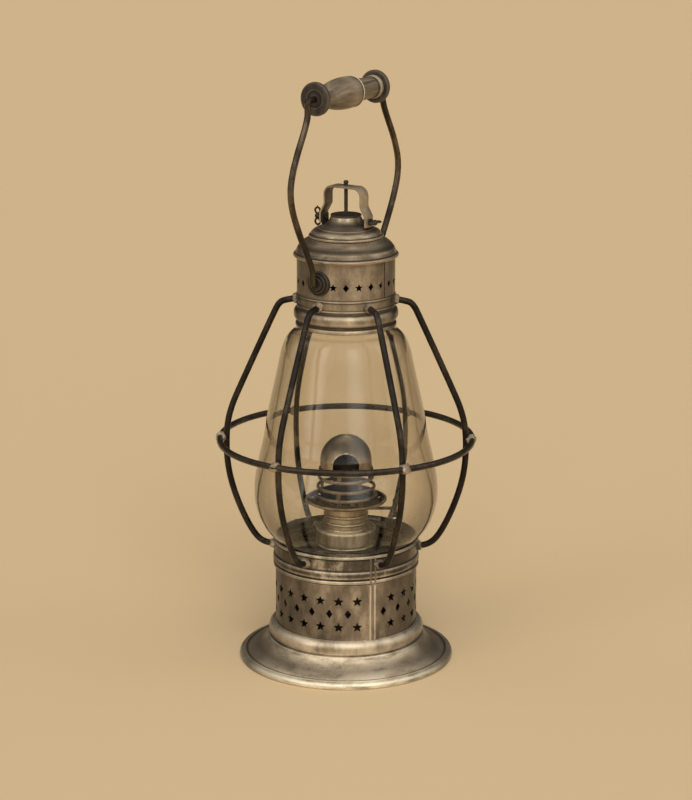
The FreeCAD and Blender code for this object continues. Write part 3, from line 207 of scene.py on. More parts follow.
def metal_with_wear_and_shade(name, deep, middle, pale, metallic, rough, mottle=60, stretch=(1, 1, 0.6), bump=0.08,
               crease_shade_and_grime=0.85, inward_shade=0.0, side_shade=0.0):
    """Old metal: broad stains, smaller clouds and a fine grain, its crests painted bright as wear and highlight
    and its creases painted dark as shade and grime. One amount darkens faces that look towards the lantern's
    axis as painted shade, and another darkens the two sides of the lantern, away from its front, as painted shade."""
    material, tree, shader = new_finish(name)
    place = add(tree, "TexCoord").outputs["Object"]
    drawn = add(tree, "Mapping", Vector=place, Scale=stretch).outputs["Vector"]
    broad = cloudy(tree, drawn, mottle * 0.35, detail=4, roughness=0.55)
    cloud = cloudy(tree, drawn, mottle * 1.6, detail=6, roughness=0.62)
    grain = cloudy(tree, place, mottle * 16, detail=3, roughness=0.7)
    stain = maths(tree, 'MULTIPLY_ADD', cloud, 0.7, broad)
    wash = maths(tree, 'MULTIPLY_ADD', grain, 0.22, stain)
    sheet = ramp(tree, maths(tree, 'MULTIPLY', wash, 0.52), (0.39, deep), (0.5, middle), (0.61, pale))

    edge_bend = add(tree, "Attribute", ATTRIBUTE_NAME="edge_bend").outputs["Fac"]
    patchy = maths(tree, 'MULTIPLY', edge_bend, maths(tree, 'MULTIPLY_ADD', cloud, 1.8, 0.1))
    # Crests are painted bright, as wear and as highlight.
    crest_wear_and_highlight = between(tree, patchy, 0.2, 0.85, 0, 0.75)
    # Creases are painted dark, as shade and grime.
    crease_shade_and_grime_mask = between(tree, patchy, -0.12, -0.7, 0, crease_shade_and_grime)

    from_axis = directions(tree, 'MULTIPLY', place, (1, 1, 0))
    facing_out = directions(tree, 'DOT_PRODUCT', from_axis, add(tree, "TexCoord").outputs["Normal"])
    # Faces that look towards the lantern's axis are painted dark, as shade.
    inward_shade_mask = between(tree, facing_out, -0.001, -0.008, 0, inward_shade)
    # The two sides of the lantern, away from its front, are painted dark, as shade.
    to_front = (cos(radians(FRONT)), sin(radians(FRONT)), 0)
    in_front = directions(tree, 'DOT_PRODUCT', directions(tree, 'NORMALIZE', from_axis), to_front)
    side_shade_amount = between(tree, maths(tree, 'ABSOLUTE', in_front), 0.4, 1.0, side_shade, 0)
    side_shade_mask = maths(tree, 'MULTIPLY', side_shade_amount, maths(tree, 'MULTIPLY_ADD', broad, 1.0, 0.5))

    worn_and_lit_crests = over(tree, crest_wear_and_highlight, sheet, toned(pale, 1.15))
    side_shaded = over(tree, side_shade_mask, worn_and_lit_crests, toned(deep, 0.4))
    shaded_and_soiled = over(tree, maths(tree, 'MAXIMUM', crease_shade_and_grime_mask, inward_shade_mask), side_shaded, toned(deep, 0.2))
    sheen = between(tree, stain, 0.7, 1.0, rough[1], rough[0])
    join(tree, shader, Base_Color=shaded_and_soiled, Metallic=metallic, Normal=uneven(tree, wash, bump, 0.4),
         Roughness=maths(tree, 'MULTIPLY_ADD', crease_shade_and_grime_mask, 0.25, sheen))
    return material


spun_tin = metal_with_wear_and_shade("spun_tin", colour(128, 112, 91), colour(216, 198, 169), colour(248, 234, 208),
                      metallic=0.3, rough=(0.3, 0.44), mottle=56, stretch=(0.7, 0.7, 2.6), inward_shade=0.85, side_shade=0.84)
rim, foot, ledge = round_box("base_flange")
drum_wall, drum_foot, drum_top = round_box("base_drum")
roll, shoulder = rim - 5.4, rim - 21.6
skirt = outline([
    (rim - 3.3, foot + 0.6), (rim - 3.3, foot, 0.3), (rim, foot, 2.0), (rim, foot + 4.4, 1.8),
    (roll + 0.8, foot + 5.9, 0.5), (roll, foot + 5.0, 0.5), (rim - 15.7, foot + 8.1, 10.2),
    (shoulder, ledge - SHEET, 0.6), (shoulder - 0.8, ledge, 0.4), (drum_wall, ledge),
    (drum_wall, ledge - SHEET), (shoulder - 1.1, ledge - 2 * SHEET, 0.4), (rim - 16.6, foot + 7.2, 9.6),
    (roll, foot + 4.2),
])
piece("skirt", spun(skirt), spun_tin, "lantern", "tinplate", "base_flange")

# Foot collar: a rounded ring of tinplate soldered round the foot of the drum, where it meets the skirt.
# Its crest is painted brighter than the sheet on either side, as wear and as highlight.
bright_tin = metal_with_wear_and_shade("bright_tin", colour(136, 121, 101), colour(194, 177, 151), colour(222, 207, 181),
                        metallic=0.4, rough=(0.26, 0.38), inward_shade=0.85, side_shade=0.72)
collar_side, collar_foot, collar_top = round_box("foot_collar")
collar_shoulder = collar_side - 3.3
collar = outline([
    (drum_wall, collar_foot), (collar_shoulder, collar_foot), (collar_side, collar_foot + 1.2, 3.6),
    (collar_side, collar_top - 1.2, 3.6), (collar_shoulder, collar_top, 0.5), (drum_wall, collar_top),
])
piece("foot_collar_ring", spun(collar), bright_tin, "lantern", "tinplate", "foot_collar")

# Drum: a rolled tube of tinplate, punched before it was rolled with two rows of stars and a row of
# diamonds between them, and closed by a lapped and folded seam that is soldered down its length.
tinplate = metal_with_wear_and_shade("tinplate", colour(78, 68, 56), colour(126, 112, 93), colour(178, 161, 136),
                      metallic=0.4, rough=(0.28, 0.4), inward_shade=0.9, side_shade=0.92)
STAR_CORNERS, DIAMOND_CORNERS = 10, 4
DRUM_STAR, DRUM_DIAMOND = (STAR_CORNERS, 4.2, 0.464), (DIAMOND_CORNERS, 3.7, 0.703)
DRUM_STARS, STAR_STEP, FIRST_STAR = 23, 15, 252
STAR_ROWS, DIAMOND_ROW = (60.0, 39.6), 50.2
SEAM_ANGLE, FOLD_STEP = 234.5, 1.9
SEAM_FOLDS = (("left", SEAM_ANGLE - FOLD_STEP), ("right", SEAM_ANGLE + FOLD_STEP))


def turn(mesh, verts, angle, axis='Z'):
    """Turns some of a mesh's points, by degrees."""
    bmesh.ops.rotate(mesh, cent=(0, 0, 0), matrix=Matrix.Rotation(radians(angle), 3, axis), verts=verts)


def shift(mesh, verts, x=0, y=0, z=0):
    """Moves some of a mesh's points, in millimetres."""
    bmesh.ops.translate(mesh, vec=(x / 1000, y / 1000, z / 1000), verts=verts)


def punch(tool, corners, reach, waist, level, angle, radius, depth=8):
    """Adds one punch to a tool: a prism that passes through the wall of a tube. A waist, as a share of the
    reach, draws every second corner in, as on a star, or narrows a diamond."""
    made = bmesh.ops.create_cone(tool, cap_ends=True, segments=corners, radius1=reach / 1000,
                                 radius2=reach / 1000, depth=depth / 1000)["verts"]
    if corners == DIAMOND_CORNERS:
        bmesh.ops.scale(tool, vec=(waist, 1, 1), verts=made)
    else:
        drawn_in = [v for v in made if round(atan2(v.co.x, v.co.y) / (2 * pi / corners)) % 2]
        bmesh.ops.scale(tool, vec=(waist, waist, 1), verts=drawn_in)
    stood_up = Matrix(((0, 0, 1, 0), (1, 0, 0, 0), (0, 1, 0, 0), (0, 0, 0, 1)))
    place = Matrix.Rotation(radians(angle), 4, 'Z') @ Matrix.Translation((radius / 1000, 0, level / 1000))
    bmesh.ops.transform(tool, matrix=place @ stood_up, verts=made)


def cut_out(mesh, tool):
    """The mesh with the tool's shapes cut out of it."""
    bmesh.ops.recalc_face_normals(tool, faces=tool.faces[:])
    both = []
    for source in (mesh, tool):
        data = bpy.data.meshes.new("blank")
        source.to_mesh(data)
        source.free()
        both.append(bpy.data.objects.new("blank", data))
        bpy.context.scene.collection.objects.link(both[-1])
    wall, cutter = both
    cut = wall.modifiers.new("cut", 'BOOLEAN')
    cut.operation, cut.solver, cut.object = 'DIFFERENCE', 'EXACT', cutter
    bpy.context.view_layer.update()
    data = bpy.data.meshes.new_from_object(wall.evaluated_get(bpy.context.evaluated_depsgraph_get()))
    result = bmesh.new()
    result.from_mesh(data)
    for blank in both:
        bpy.data.objects.remove(blank)
    return result


def strip(radius, foot, top, width, lift, angle, bed=0.6):
    """An upright strip of sheet on the outside of a tube, bedded in it and eased along its edges."""
    mesh = bmesh.new()
    made = bmesh.ops.create_cube(mesh, size=1)["verts"]
    bmesh.ops.scale(mesh, vec=((lift + bed) / 1000, width / 1000, (top - foot) / 1000), verts=made)
    bmesh.ops.bevel(mesh, geom=mesh.edges[:], offset=lift / 2500, offset_type='OFFSET', affect='EDGES',
                    segments=3, profile=0.5, material=-1)
    shift(mesh, mesh.verts[:], x=radius + (lift - bed) / 2, z=(foot + top) / 2)
    turn(mesh, mesh.verts[:], angle)
    return mesh


drum = spun(outline([(drum_wall - SHEET, drum_foot), (drum_wall, drum_foot), (drum_wall, drum_top),
                     (drum_wall - SHEET, drum_top)], longest=5), steps=192)
punches = bmesh.new()
for place in range(DRUM_STARS):
    angle = FIRST_STAR + STAR_STEP * place
    for row in STAR_ROWS:
        punch(punches, *DRUM_STAR, row, angle, drum_wall)
    punch(punches, *DRUM_DIAMOND, DIAMOND_ROW, angle - STAR_STEP / 2, drum_wall)
piece("drum", cut_out(drum, punches), tinplate, "lantern", "tinplate", "base_drum", sharp=20)

_, gallery_foot, gallery_top = round_box("gallery_ring")
drum_lap = strip(drum_wall, collar_top, gallery_foot, width=8.6, lift=0.5, angle=SEAM_ANGLE)
piece("drum_seam", drum_lap, tinplate, "lantern", "tinplate", "base_seam")
# The two folds take the paler tin, painted as worn and lit ridges.
for side, angle in SEAM_FOLDS:
    fold = strip(drum_wall, collar_top, gallery_foot, width=1.5, lift=1.0, angle=angle)
    piece(f"drum_fold_{side}", fold, bright_tin, "lantern", "tinplate")

# Gallery: the sleeve pushed over the drum's top edge, with a swaged bead, a broader swage, a plain band
# and a rolled rim, and the drum's seam carried up it as two folds. The plate inside carries the globe.
gallery_wall = drum_wall + SHEET
bead, swage, gallery_roll = gallery_wall + 0.9, gallery_wall + 1.0, gallery_wall + 0.9
sleeve = outline([
    (drum_wall, gallery_foot), (gallery_wall, gallery_foot, 0.2), (gallery_wall, gallery_foot + 0.7, 0.3),
    (bead, gallery_foot + 1.5, 0.6), (bead, gallery_foot + 3.2, 0.6), (gallery_wall, gallery_foot + 3.9, 0.4),
    (gallery_wall, gallery_foot + 4.6, 0.3), (swage, gallery_foot + 5.6, 0.9), (swage, gallery_foot + 10.2, 0.9),
    (gallery_wall, gallery_foot + 11.3, 0.4), (gallery_wall, gallery_top - 2.4, 0.3),
    (gallery_roll, gallery_top - 1.9, 0.5), (gallery_roll, gallery_top, 0.9),
    (drum_wall - 0.1, gallery_top, 0.6), (drum_wall, gallery_top - 2),
])
# A darker copy of the tin with paler crests: the band is painted as in shade and the swages as lit.
gallery_tin = metal_with_wear_and_shade("gallery_tin", colour(50, 43, 35), colour(88, 77, 63), colour(214, 198, 170),
                         metallic=0.4, rough=(0.26, 0.38), inward_shade=0.95, side_shade=0.7)
piece("gallery", spun(sleeve), gallery_tin, "lantern", "tinplate", "gallery_ring")
for side, angle in SEAM_FOLDS:
    fold = strip(gallery_wall, gallery_foot + 0.2, gallery_top - 2.2, width=1.5, lift=1.1, angle=angle)
    piece(f"gallery_fold_{side}", fold, tinplate, "lantern", "tinplate")


def finished(material, *nodes):
    """Nodes that keep their own shape and take a finish."""
    for node in nodes:
        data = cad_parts[node].data
        data.materials.clear()
        data.materials.append(material)


shaded_tin = metal_with_wear_and_shade("shaded_tin", colour(32, 27, 22), colour(56, 48, 39), colour(100, 88, 71),
                        metallic=0.45, rough=(0.26, 0.4))
finished(shaded_tin, "globe_seat")

# Font: the oil tank inside the drum, a drawn can with a domed top lapped over it and a threaded collar
# for the burner. Two spring catches on its sides snap into the drum and let it drop out for filling.
font_side, font_edge, font_top = round_box("font_top")
font_bend, font_flat, font_mouth = 35, 21, 14.2
lid = outline([
    (font_side - SHEET, font_edge), (font_side, font_edge, 0.2), (font_side, font_edge + 4, 0.8),
    (font_bend, font_edge + 9.6, 10), (font_flat, font_top, 2), (font_mouth, font_top),
    (font_mouth, font_top - SHEET), (font_flat, font_top - SHEET), (font_bend, font_edge + 8.8, 10),
    (font_side - SHEET, font_edge + 3.4),
])
# A dark copy of the tin: the shade inside the gallery is painted into its colour.
font_tin = metal_with_wear_and_shade("font_tin", colour(30, 25, 20), colour(62, 53, 43), colour(160, 144, 118),
                      metallic=0.6, rough=(0.18, 0.3), mottle=26, stretch=(1, 1, 1))
piece("font_lid", spun(lid), font_tin, "font", "tinplate", "font_top")
finished(shaded_tin, "font_body", "font_collar", "font_catches")

# Burner: a brass-plated cup screwed on the font, a swaged neck, a perforated draught dish with a rolled
# edge, a basket of four rings on staggered posts, and a domed cone with an arched flame window.
burner_metal = metal_with_wear_and_shade("burner_metal", colour(112, 94, 69), colour(208, 187, 153), colour(248, 230, 197),
                          metallic=0.5, rough=(0.22, 0.34), mottle=70, stretch=(1, 1, 0.2), inward_shade=0.9, side_shade=0.85)
basket_metal = metal_with_wear_and_shade("basket_metal", colour(62, 51, 37), colour(98, 82, 61), colour(150, 130, 100),
                          metallic=0.5, rough=(0.28, 0.42), mottle=70, inward_shade=0.7, side_shade=0.7)
dish_metal = metal_with_wear_and_shade("dish_metal", colour(34, 28, 21), colour(58, 48, 36), colour(150, 130, 100),
                        metallic=0.5, rough=(0.26, 0.4))
BURNER_TURN = -57
cup_edge, cup_foot, cup_top = round_box("burner_cup")
cup_side, cup_bore, cup_mouth = cup_edge - 0.7, 17.6, 10.6
cup = outline([
    (cup_bore, cup_top - SHEET), (cup_bore, cup_foot), (cup_edge, cup_foot, 0.2), (cup_edge, cup_foot + 0.9, 0.3),
    (cup_side, cup_foot + 1.7, 0.4), (cup_side, cup_top, 1.4), (cup_mouth, cup_top), (cup_mouth, cup_top - SHEET),
])
piece("burner_cup_shell", spun(cup, steps=96), burner_metal, "font", "burner_brass", "burner_cup")

NECK_LINES, LINE_LIFT = (107, 113), 0.55
neck_side, neck_top = 16.8, round_box("burner_neck")[2]
neck = [(neck_side - SHEET, cup_top), (neck_side + 0.6, cup_top, 0.3), (neck_side, cup_top + 1.2, 0.6)]
for line in NECK_LINES:
    neck += [(neck_side, line, 0.3), (neck_side + LINE_LIFT, line + 0.8, 0.4), (neck_side, line + 1.6, 0.3)]
neck += [(neck_side, neck_top), (neck_side - SHEET, neck_top)]
piece("burner_neck_tube", spun(outline(neck), steps=96), burner_metal, "font", "burner_brass", "burner_neck")

_, dish_foot, dish_top = round_box("burner_dish")
dish_bore, dish_bend, dish_lip, dish_side = 12.4, 24.4, 29.8, 31.3
dish = spun(outline([
    (dish_bore, dish_foot), (dish_bend, dish_foot, 2), (dish_lip, dish_foot + 2.9, 0.5),
    (dish_side, dish_foot + 2.9, 0.8), (dish_side, dish_top, 0.8), (dish_lip - 0.1, dish_top, 0.5),
    (dish_lip - 0.3, dish_foot + 3.7, 0.4), (dish_bend - 0.2, dish_foot + SHEET, 1.6),
    (dish_bore, dish_foot + SHEET),
]), steps=128)
DISH_HOLES, HOLE_RADIUS, HOLE_PLACE = 18, 1.4, 27.2
holes = bmesh.new()
for place in range(DISH_HOLES):
    made = bmesh.ops.create_cone(holes, cap_ends=True, segments=20, radius1=HOLE_RADIUS / 1000,
                                 radius2=HOLE_RADIUS / 1000, depth=0.01)["verts"]
    shift(holes, made, x=HOLE_PLACE, z=dish_foot + 1)
    turn(holes, made, BURNER_TURN + 360 / DISH_HOLES * place)
piece("burner_draught_dish", cut_out(dish, holes), dish_metal, "font", "burner_brass", "burner_dish", sharp=25)

BASKET_RINGS = ((128.8, 1.3), (135.3, 1.3), (142.9, 1.3), (148.7, 1.7))
BASKET_SIDE, BASKET_TAPER, RING_EDGE = 23.6, 3.9, 0.9
POSTS, POST_WIDTH, FIRST_POST = 4, 3.3, -105
_, basket_foot, basket_top = round_box("burner_basket")
basket = bmesh.new()


def basket_radius(level):
    """The outer radius of the basket's posts, on their straight taper."""
    return BASKET_SIDE - BASKET_TAPER * (level - basket_foot) / (basket_top - basket_foot)


for level, half in BASKET_RINGS:
    within, without = basket_radius(level) - RING_EDGE, basket_radius(level) + RING_EDGE
    ring = spun(outline([(within, level - half, 0.5), (without, level - half, 1.1), (without, level + half, 1.1),
                         (within, level + half, 0.5)], segments=4), steps=96)
    ring_data = bpy.data.meshes.new("ring")
    ring.to_mesh(ring_data)
    ring.free()
    basket.from_mesh(ring_data)
ring_levels = [level for level, _ in BASKET_RINGS]
for row, (low, high) in enumerate(zip([basket_foot] + ring_levels, ring_levels)):
    middle = (low + high) / 2
    stagger = 0 if row % 2 else 45
    for post in range(POSTS):
        made = bmesh.ops.create_cube(basket, size=1)["verts"]
        bmesh.ops.scale(basket, vec=(SHEET / 1000, POST_WIDTH / 1000, (high - low) / 1000), verts=made)
        shift(basket, made, x=basket_radius(middle) - SHEET / 2, z=middle)
        turn(basket, made, BURNER_TURN + FIRST_POST + 360 / POSTS * post + stagger)
piece("burner_basket_rings", basket, basket_metal, "font", "burner_brass", "burner_basket")

_, cone_foot, cone_top = round_box("burner_dome")
cone_side, cone_spring, dome_ease = 19.6, 156, 19.55
cone = spun(outline([
    (cone_side - SHEET, cone_foot), (cone_side, cone_foot), (cone_side, cone_spring),
    (cone_side, cone_top, dome_ease), (0, cone_top), (0, cone_top - SHEET),
    (cone_side - SHEET, cone_top - SHEET, dome_ease - SHEET), (cone_side - SHEET, cone_spring),
], segments=20), steps=96)
WINDOW_HALF, WINDOW_SILL, WINDOW_LEVEL, WINDOW_PLACE = 10, 3, 155, 31
window = bmesh.new()
arch = bmesh.ops.create_cone(window, cap_ends=True, segments=48, radius1=WINDOW_HALF / 1000,
                             radius2=WINDOW_HALF / 1000, depth=0.06)["verts"]
for vert in arch:
    if vert.co.y < -0.0001:
        vert.co.y = -WINDOW_SILL / 1000
turn(window, arch, 90, axis='X')
shift(window, arch, y=-WINDOW_PLACE, z=WINDOW_LEVEL)
turn(window, arch, BURNER_TURN)
piece("burner_cone", cut_out(cone, window), burner_metal, "font", "burner_brass", "burner_dome", sharp=25)

# Wick and raiser: a flat woven wick in its tube, moved by two spur wheels on a steel shaft that comes
# out under the dish and ends in a notched thumbwheel. The wick's end is charred.
soot = metal_with_wear_and_shade("sooty_tin", colour(34, 29, 24), colour(58, 50, 41), colour(88, 77, 63),
                  metallic=0.4, rough=(0.5, 0.7))
steel = metal_with_wear_and_shade("steel_rod", colour(74, 66, 56), colour(112, 101, 85), colour(160, 146, 124),
                   metallic=0.6, rough=(0.28, 0.42), mottle=200)
CHAR_START, CHAR_FULL = 150.0, 153.5
cotton, tree, shader = new_finish("wick_cotton")
place = add(tree, "TexCoord").outputs["Object"]
weave = add(tree, "TexWave", Vector=place, Scale=900, Distortion=2, BANDS_DIRECTION='Z').outputs["Fac"]
thread = ramp(tree, weave, (0.2, colour(168, 152, 124)), (0.8, colour(214, 200, 172)))
height = add(tree, "SeparateXYZ", Vector=place).outputs["Z"]
burnt = between(tree, height, CHAR_START / 1000, CHAR_FULL / 1000, 0, 1)
join(tree, shader, Base_Color=over(tree, burnt, thread, colour(34, 28, 24)), Roughness=0.9,
     Normal=uneven(tree, weave, 0.5, 0.3))
finished(cotton, "wick")
finished(soot, "wick_tube")
finished(steel, "wick_shaft", "wick_spurs")
finished(dish_metal, "thumbwheel")

# Globe: blown clear glass with a straight foot, a pear-shaped belly and a short neck. It stands on the
# gallery's plate and is held at the neck by a packing ring. Age has left it faintly smoky.
glass, tree, shader = new_finish("globe_glass")
place = add(tree, "TexCoord").outputs["Object"]
smoke = cloudy(tree, place, 14, detail=3)
clear = ramp(tree, smoke, (0.35, colour(246, 243, 236)), (0.7, colour(253, 251, 247)))
# The globe's colour is darkened towards its edges, as painted shade of dark surroundings seen through thick glass.
edge_on = add(tree, "LayerWeight", Blend=0.5).outputs["Facing"]
edge_shade = over(tree, between(tree, edge_on, 0.28, 0.86, 0, 1), clear, colour(128, 118, 102))
ripple = cloudy(tree, place, 38, detail=1)
join(tree, shader, Base_Color=edge_shade, Roughness=0.02, Transmission_Weight=1,
     Normal=uneven(tree, ripple, 0.05, 0.6))
shader.inputs["IOR"].default_value = 1.45
tint = add(tree, "VolumeAbsorption", Color=(0.5, 0.48, 0.44, 1), Density=72)
join(tree, tree.nodes["Material Output"], Volume=tint.outputs["Volume"])

GLASS_WALL, GLOBE_BELLY, GLOBE_FOOT, GLOBE_NECK, NECK_SHARE = 2, 70, 52.4, 35, 0.935
GLOBE_SHARES = ((0.880, 0.047, 6.1), (0.985, 0.135, 8.2), (1.008, 0.229, 8.2), (0.962, 0.342, 10),
                (0.890, 0.457, 8.2), (0.857, 0.551, 8.2), (0.775, 0.692, 12.4), (0.690, 0.854, 5.8),
                (0.615, 0.914, 4.3))
_, globe_foot, globe_top = round_box("glass_globe")
globe_bend = gallery_top - 1.1
globe_rise = globe_top - globe_bend
globe_line = [(GLOBE_FOOT, globe_foot), (GLOBE_FOOT, globe_bend, 3.9)]
globe_line += [(GLOBE_BELLY * out, globe_bend + globe_rise * up, ease) for out, up, ease in GLOBE_SHARES]
globe_line += [(GLOBE_NECK, globe_bend + globe_rise * NECK_SHARE, 4.3), (GLOBE_NECK, globe_top)]
globe = spun(outline(globe_line, closed=False, segments=10, longest=6))
globe_piece = piece("globe", globe, glass, "lantern", "glass", "glass_globe", sharp=60)
blown = globe_piece.modifiers.new("glass_thickness", 'SOLIDIFY')
blown.thickness, blown.offset, blown.use_even_offset = GLASS_WALL / 1000, -1, True
globe_piece.visible_shadow = False
packing = metal_with_wear_and_shade("packing_cord", colour(70, 60, 48), colour(104, 92, 74), colour(140, 126, 104),
                     metallic=0, rough=(0.8, 0.95))
finished(packing, "globe_packing")

# Guard: six bowed iron wires, soldered at the crown and at the gallery, and tied at their widest by a
# ring of the same wire soldered to the outside of each. The wire is black with handling.
iron = metal_with_wear_and_shade("iron_wire", colour(26, 22, 19), colour(40, 34, 29), colour(70, 61, 51),
                  metallic=0.65, rough=(0.24, 0.38), mottle=130)
BOWS, WIRE = 6, 2.4
UPPER_BOW = ((-0.01, 1), (0.13, 0.994), (0.245, 0.984), (0.34, 0.93), (0.80, 0.645), (0.93, 0.56), (1, 0.475))
LOWER_BOW = ((1, 0.330), (0.833, 0.199), (0.515, 0.062), (0.238, 0), (-0.01, 0))


def bent_wire(name, points, radius):
    """A mesh of round wire on a smooth line through its route, in millimetres."""
    line = bpy.data.curves.new(name, 'CURVE')
    line.dimensions = '3D'
    line.bevel_depth = radius / 1000
    line.bevel_resolution = 5
    line.resolution_u = 14
    line.use_fill_caps = True
    spline = line.splines.new('NURBS')
    spline.points.add(len(points) - 1)
    for point, place in zip(spline.points, points):
        point.co = (*[c / 1000 for c in place], 1)
    spline.order_u = 3
    spline.use_endpoint_u = True
    holder = bpy.data.objects.new(name, line)
    bpy.context.scene.collection.objects.link(holder)
    bpy.context.view_layer.update()
    data = bpy.data.meshes.new_from_object(holder.evaluated_get(bpy.context.evaluated_depsgraph_get()))
    bpy.data.objects.remove(holder)
    mesh = bmesh.new()
    mesh.from_mesh(data)
    return mesh


_, guard_low, guard_high = round_box("guard_wire_1")
guard_foot, guard_top = guard_low + WIRE, guard_high - 2.2
hoop_side, hoop_low, hoop_high = round_box("guard_ring")
ring_reach, ring_level = hoop_side - WIRE, (hoop_low + hoop_high) / 2
crown_wall, bow_reach = 36.8, ring_reach - 2 * WIRE
guard_route = [(wall + (bow_reach - wall) * out, 0, guard_foot + (guard_top - guard_foot) * up)
               for wall, shares in ((crown_wall, UPPER_BOW), (gallery_wall, LOWER_BOW)) for out, up in shares]
for number in range(BOWS):
    wire = bent_wire("wire", guard_route, WIRE)
    turn(wire, wire.verts[:], 360 / BOWS * number)
    piece(f"guard_bow_{number + 1}", wire, iron, "lantern", "iron_wire", f"guard_wire_{number + 1}")
hoop = spun(outline([(ring_reach + out * WIRE, ring_level + up * WIRE, WIRE - 0.01)
                     for out, up in ((-1, -1), (1, -1), (1, 1), (-1, 1))]), steps=192)
piece("guard_hoop", hoop, iron, "lantern", "iron_wire", "guard_ring")

# Solder: soft grey lumps wiped over each joint of the guard while hot, no two quite alike. They are pressed
# flat outside, and most so on the two bows that stand at the lantern's full width.
solder = metal_with_wear_and_shade("soft_solder", colour(88, 77, 63), colour(142, 127, 105), colour(186, 170, 144),
                    metallic=0.3, rough=(0.4, 0.55), mottle=150, stretch=(1, 1, 1), bump=0.3)
LUMP_SWELL, LUMP_GRAIN, WIDEST_BOWS = 0.32, 1300, (0, 3)
for name, node, out, level, spread in (
        ("ring_solder", "solder_ring", ring_reach - 0.8, ring_level, (4.0, 4.6, 3.7)),
        ("top_solder", "solder_top", crown_wall + 0.9, guard_top, (2.9, 4.0, 3.7)),
        ("foot_solder", "solder_foot", gallery_wall + 0.9, guard_foot, (3.0, 4.6, 3.8))):
    lumps = bmesh.new()
    for number in range(BOWS):
        made = bmesh.ops.create_icosphere(lumps, subdivisions=4, radius=0.001)["verts"]
        for vert in made:
            swell = noise.noise(vert.co * LUMP_GRAIN + Vector((number * 3.1, level, out)))
            vert.co *= 1 + LUMP_SWELL * swell
        bmesh.ops.scale(lumps, vec=spread, verts=made)
        shift(lumps, made, x=out, z=level)
        furthest = (ring_reach + (2.3 if number in WIDEST_BOWS else 3.1)) / 1000
        for vert in made:
            vert.co.x = min(vert.co.x, furthest)
        turn(lumps, made, 360 / BOWS * number)
    piece(name, lumps, solder, "lantern", "solder", node, sharp=80)

# Crown: the tin tube round the globe's neck, with a rolled foot, a swage and two fine raised lines. It is
# pierced with one row of stars and diamonds and closed by a thin soldered seam. A smoke tube rises in it.
crown_tin = metal_with_wear_and_shade("crown_tin", colour(88, 77, 63), colour(144, 128, 106), colour(194, 177, 150),
                       metallic=0.4, rough=(0.28, 0.4), inward_shade=0.9, side_shade=0.92)
CROWN_LINES, CROWN_SEAM_FOOT, CROWN_ROW = (17.0, 24.5), 25.9, 35.4
CROWN_STAR, CROWN_DIAMOND = (STAR_CORNERS, 3.2, 0.469), (DIAMOND_CORNERS, 3.0, 0.733)
CROWN_STARS, CROWN_STEP, FIRST_CROWN_STAR, BEHIND_BOSSES = 12, 30, 228, (5, 11)
CROWN_SEAM_ANGLE = 263
_, crown_foot, crown_top = round_box("crown_body")
crown_roll, crown_swage, crown_line = crown_wall + 1.2, crown_wall + 2.4, crown_wall + 0.5
crown_corners = [
    (crown_wall - SHEET, crown_foot), (crown_roll, crown_foot, 1.3), (crown_roll, crown_foot + 3.1, 1.3),
    (crown_wall, crown_foot + 3.5, 0.4), (crown_wall, crown_foot + 5.3, 0.4),
    (crown_swage, crown_foot + 6.8, 1.8), (crown_swage, crown_foot + 12.8, 1.8),
    (crown_wall, crown_foot + 14.3, 0.5),
]
for line in CROWN_LINES:
    level = crown_foot + line
    crown_corners += [(crown_wall, level - 0.8, 0.2), (crown_line, level - 0.2, 0.3),
                      (crown_line, level + 0.2, 0.3), (crown_wall, level + 0.8, 0.2)]
crown_corners += [(crown_wall, crown_top), (crown_wall - SHEET, crown_top)]
crown = spun(outline(crown_corners, segments=5), steps=192)
crown_punches = bmesh.new()
for place in range(CROWN_STARS):
    angle = FIRST_CROWN_STAR + CROWN_STEP * place
    punch(crown_punches, *CROWN_STAR, crown_foot + CROWN_ROW, angle, crown_wall)
    if place not in BEHIND_BOSSES:
        punch(crown_punches, *CROWN_DIAMOND, crown_foot + CROWN_ROW, angle - CROWN_STEP / 2, crown_wall)
piece("crown", cut_out(crown, crown_punches), crown_tin, "lantern", "tinplate", "crown_body", sharp=20)
crown_lap = strip(crown_wall, crown_foot + CROWN_SEAM_FOOT, crown_top, width=5.0, lift=0.25,
                  angle=CROWN_SEAM_ANGLE)
piece("crown_lap", crown_lap, crown_tin, "lantern", "tinplate", "crown_seam")
crown_fold = strip(crown_wall, crown_foot + CROWN_SEAM_FOOT, crown_top, width=1.1, lift=0.5,
                   angle=CROWN_SEAM_ANGLE)
piece("crown_fold", crown_fold, shaded_tin, "lantern", "tinplate")
finished(soot, "smoke_tube")

# Cap: a spun dome with a rolled edge that overhangs the crown, and on it the stepped cowl that draws the
# smoke up to a round mouth. Both are soldered tin, painted darker on the two sides than in front, as shade.
cap_tin = metal_with_wear_and_shade("cap_tin", colour(84, 73, 60), colour(132, 117, 97), colour(184, 167, 141),
                     metallic=0.65, rough=(0.22, 0.34), mottle=50, stretch=(0.45, 0.45, 2.6), inward_shade=0.85,
                     side_shade=0.3)
cap_side, cap_foot, cap_top = round_box("cap_dome")
crown_bore, cap_mouth, cap_brow = crown_wall - SHEET, 25.4, 27.7
cap = spun(outline([
    (crown_bore, cap_foot), (cap_side, cap_foot, 1.2), (cap_side, cap_foot + 2.5, 1.2),
    (cap_side - 1.5, cap_foot + 2.7, 0.4), (cap_side - 3.6, cap_foot + 9.2, 5.2), (cap_brow, cap_top - 0.4, 0.7),
    (cap_mouth, cap_top), (cap_mouth, cap_top - SHEET), (cap_brow - 0.5, cap_top - 1.2),
    (cap_side - 4.5, cap_foot + 8.6, 4.6), (cap_side - 2.5, cap_foot + 1.7), (crown_bore, cap_foot + SHEET),
]))
piece("cap", cap, cap_tin, "lantern", "tinplate", "cap_dome")
_, cowl_foot, cowl_top = round_box("cap_cowl")
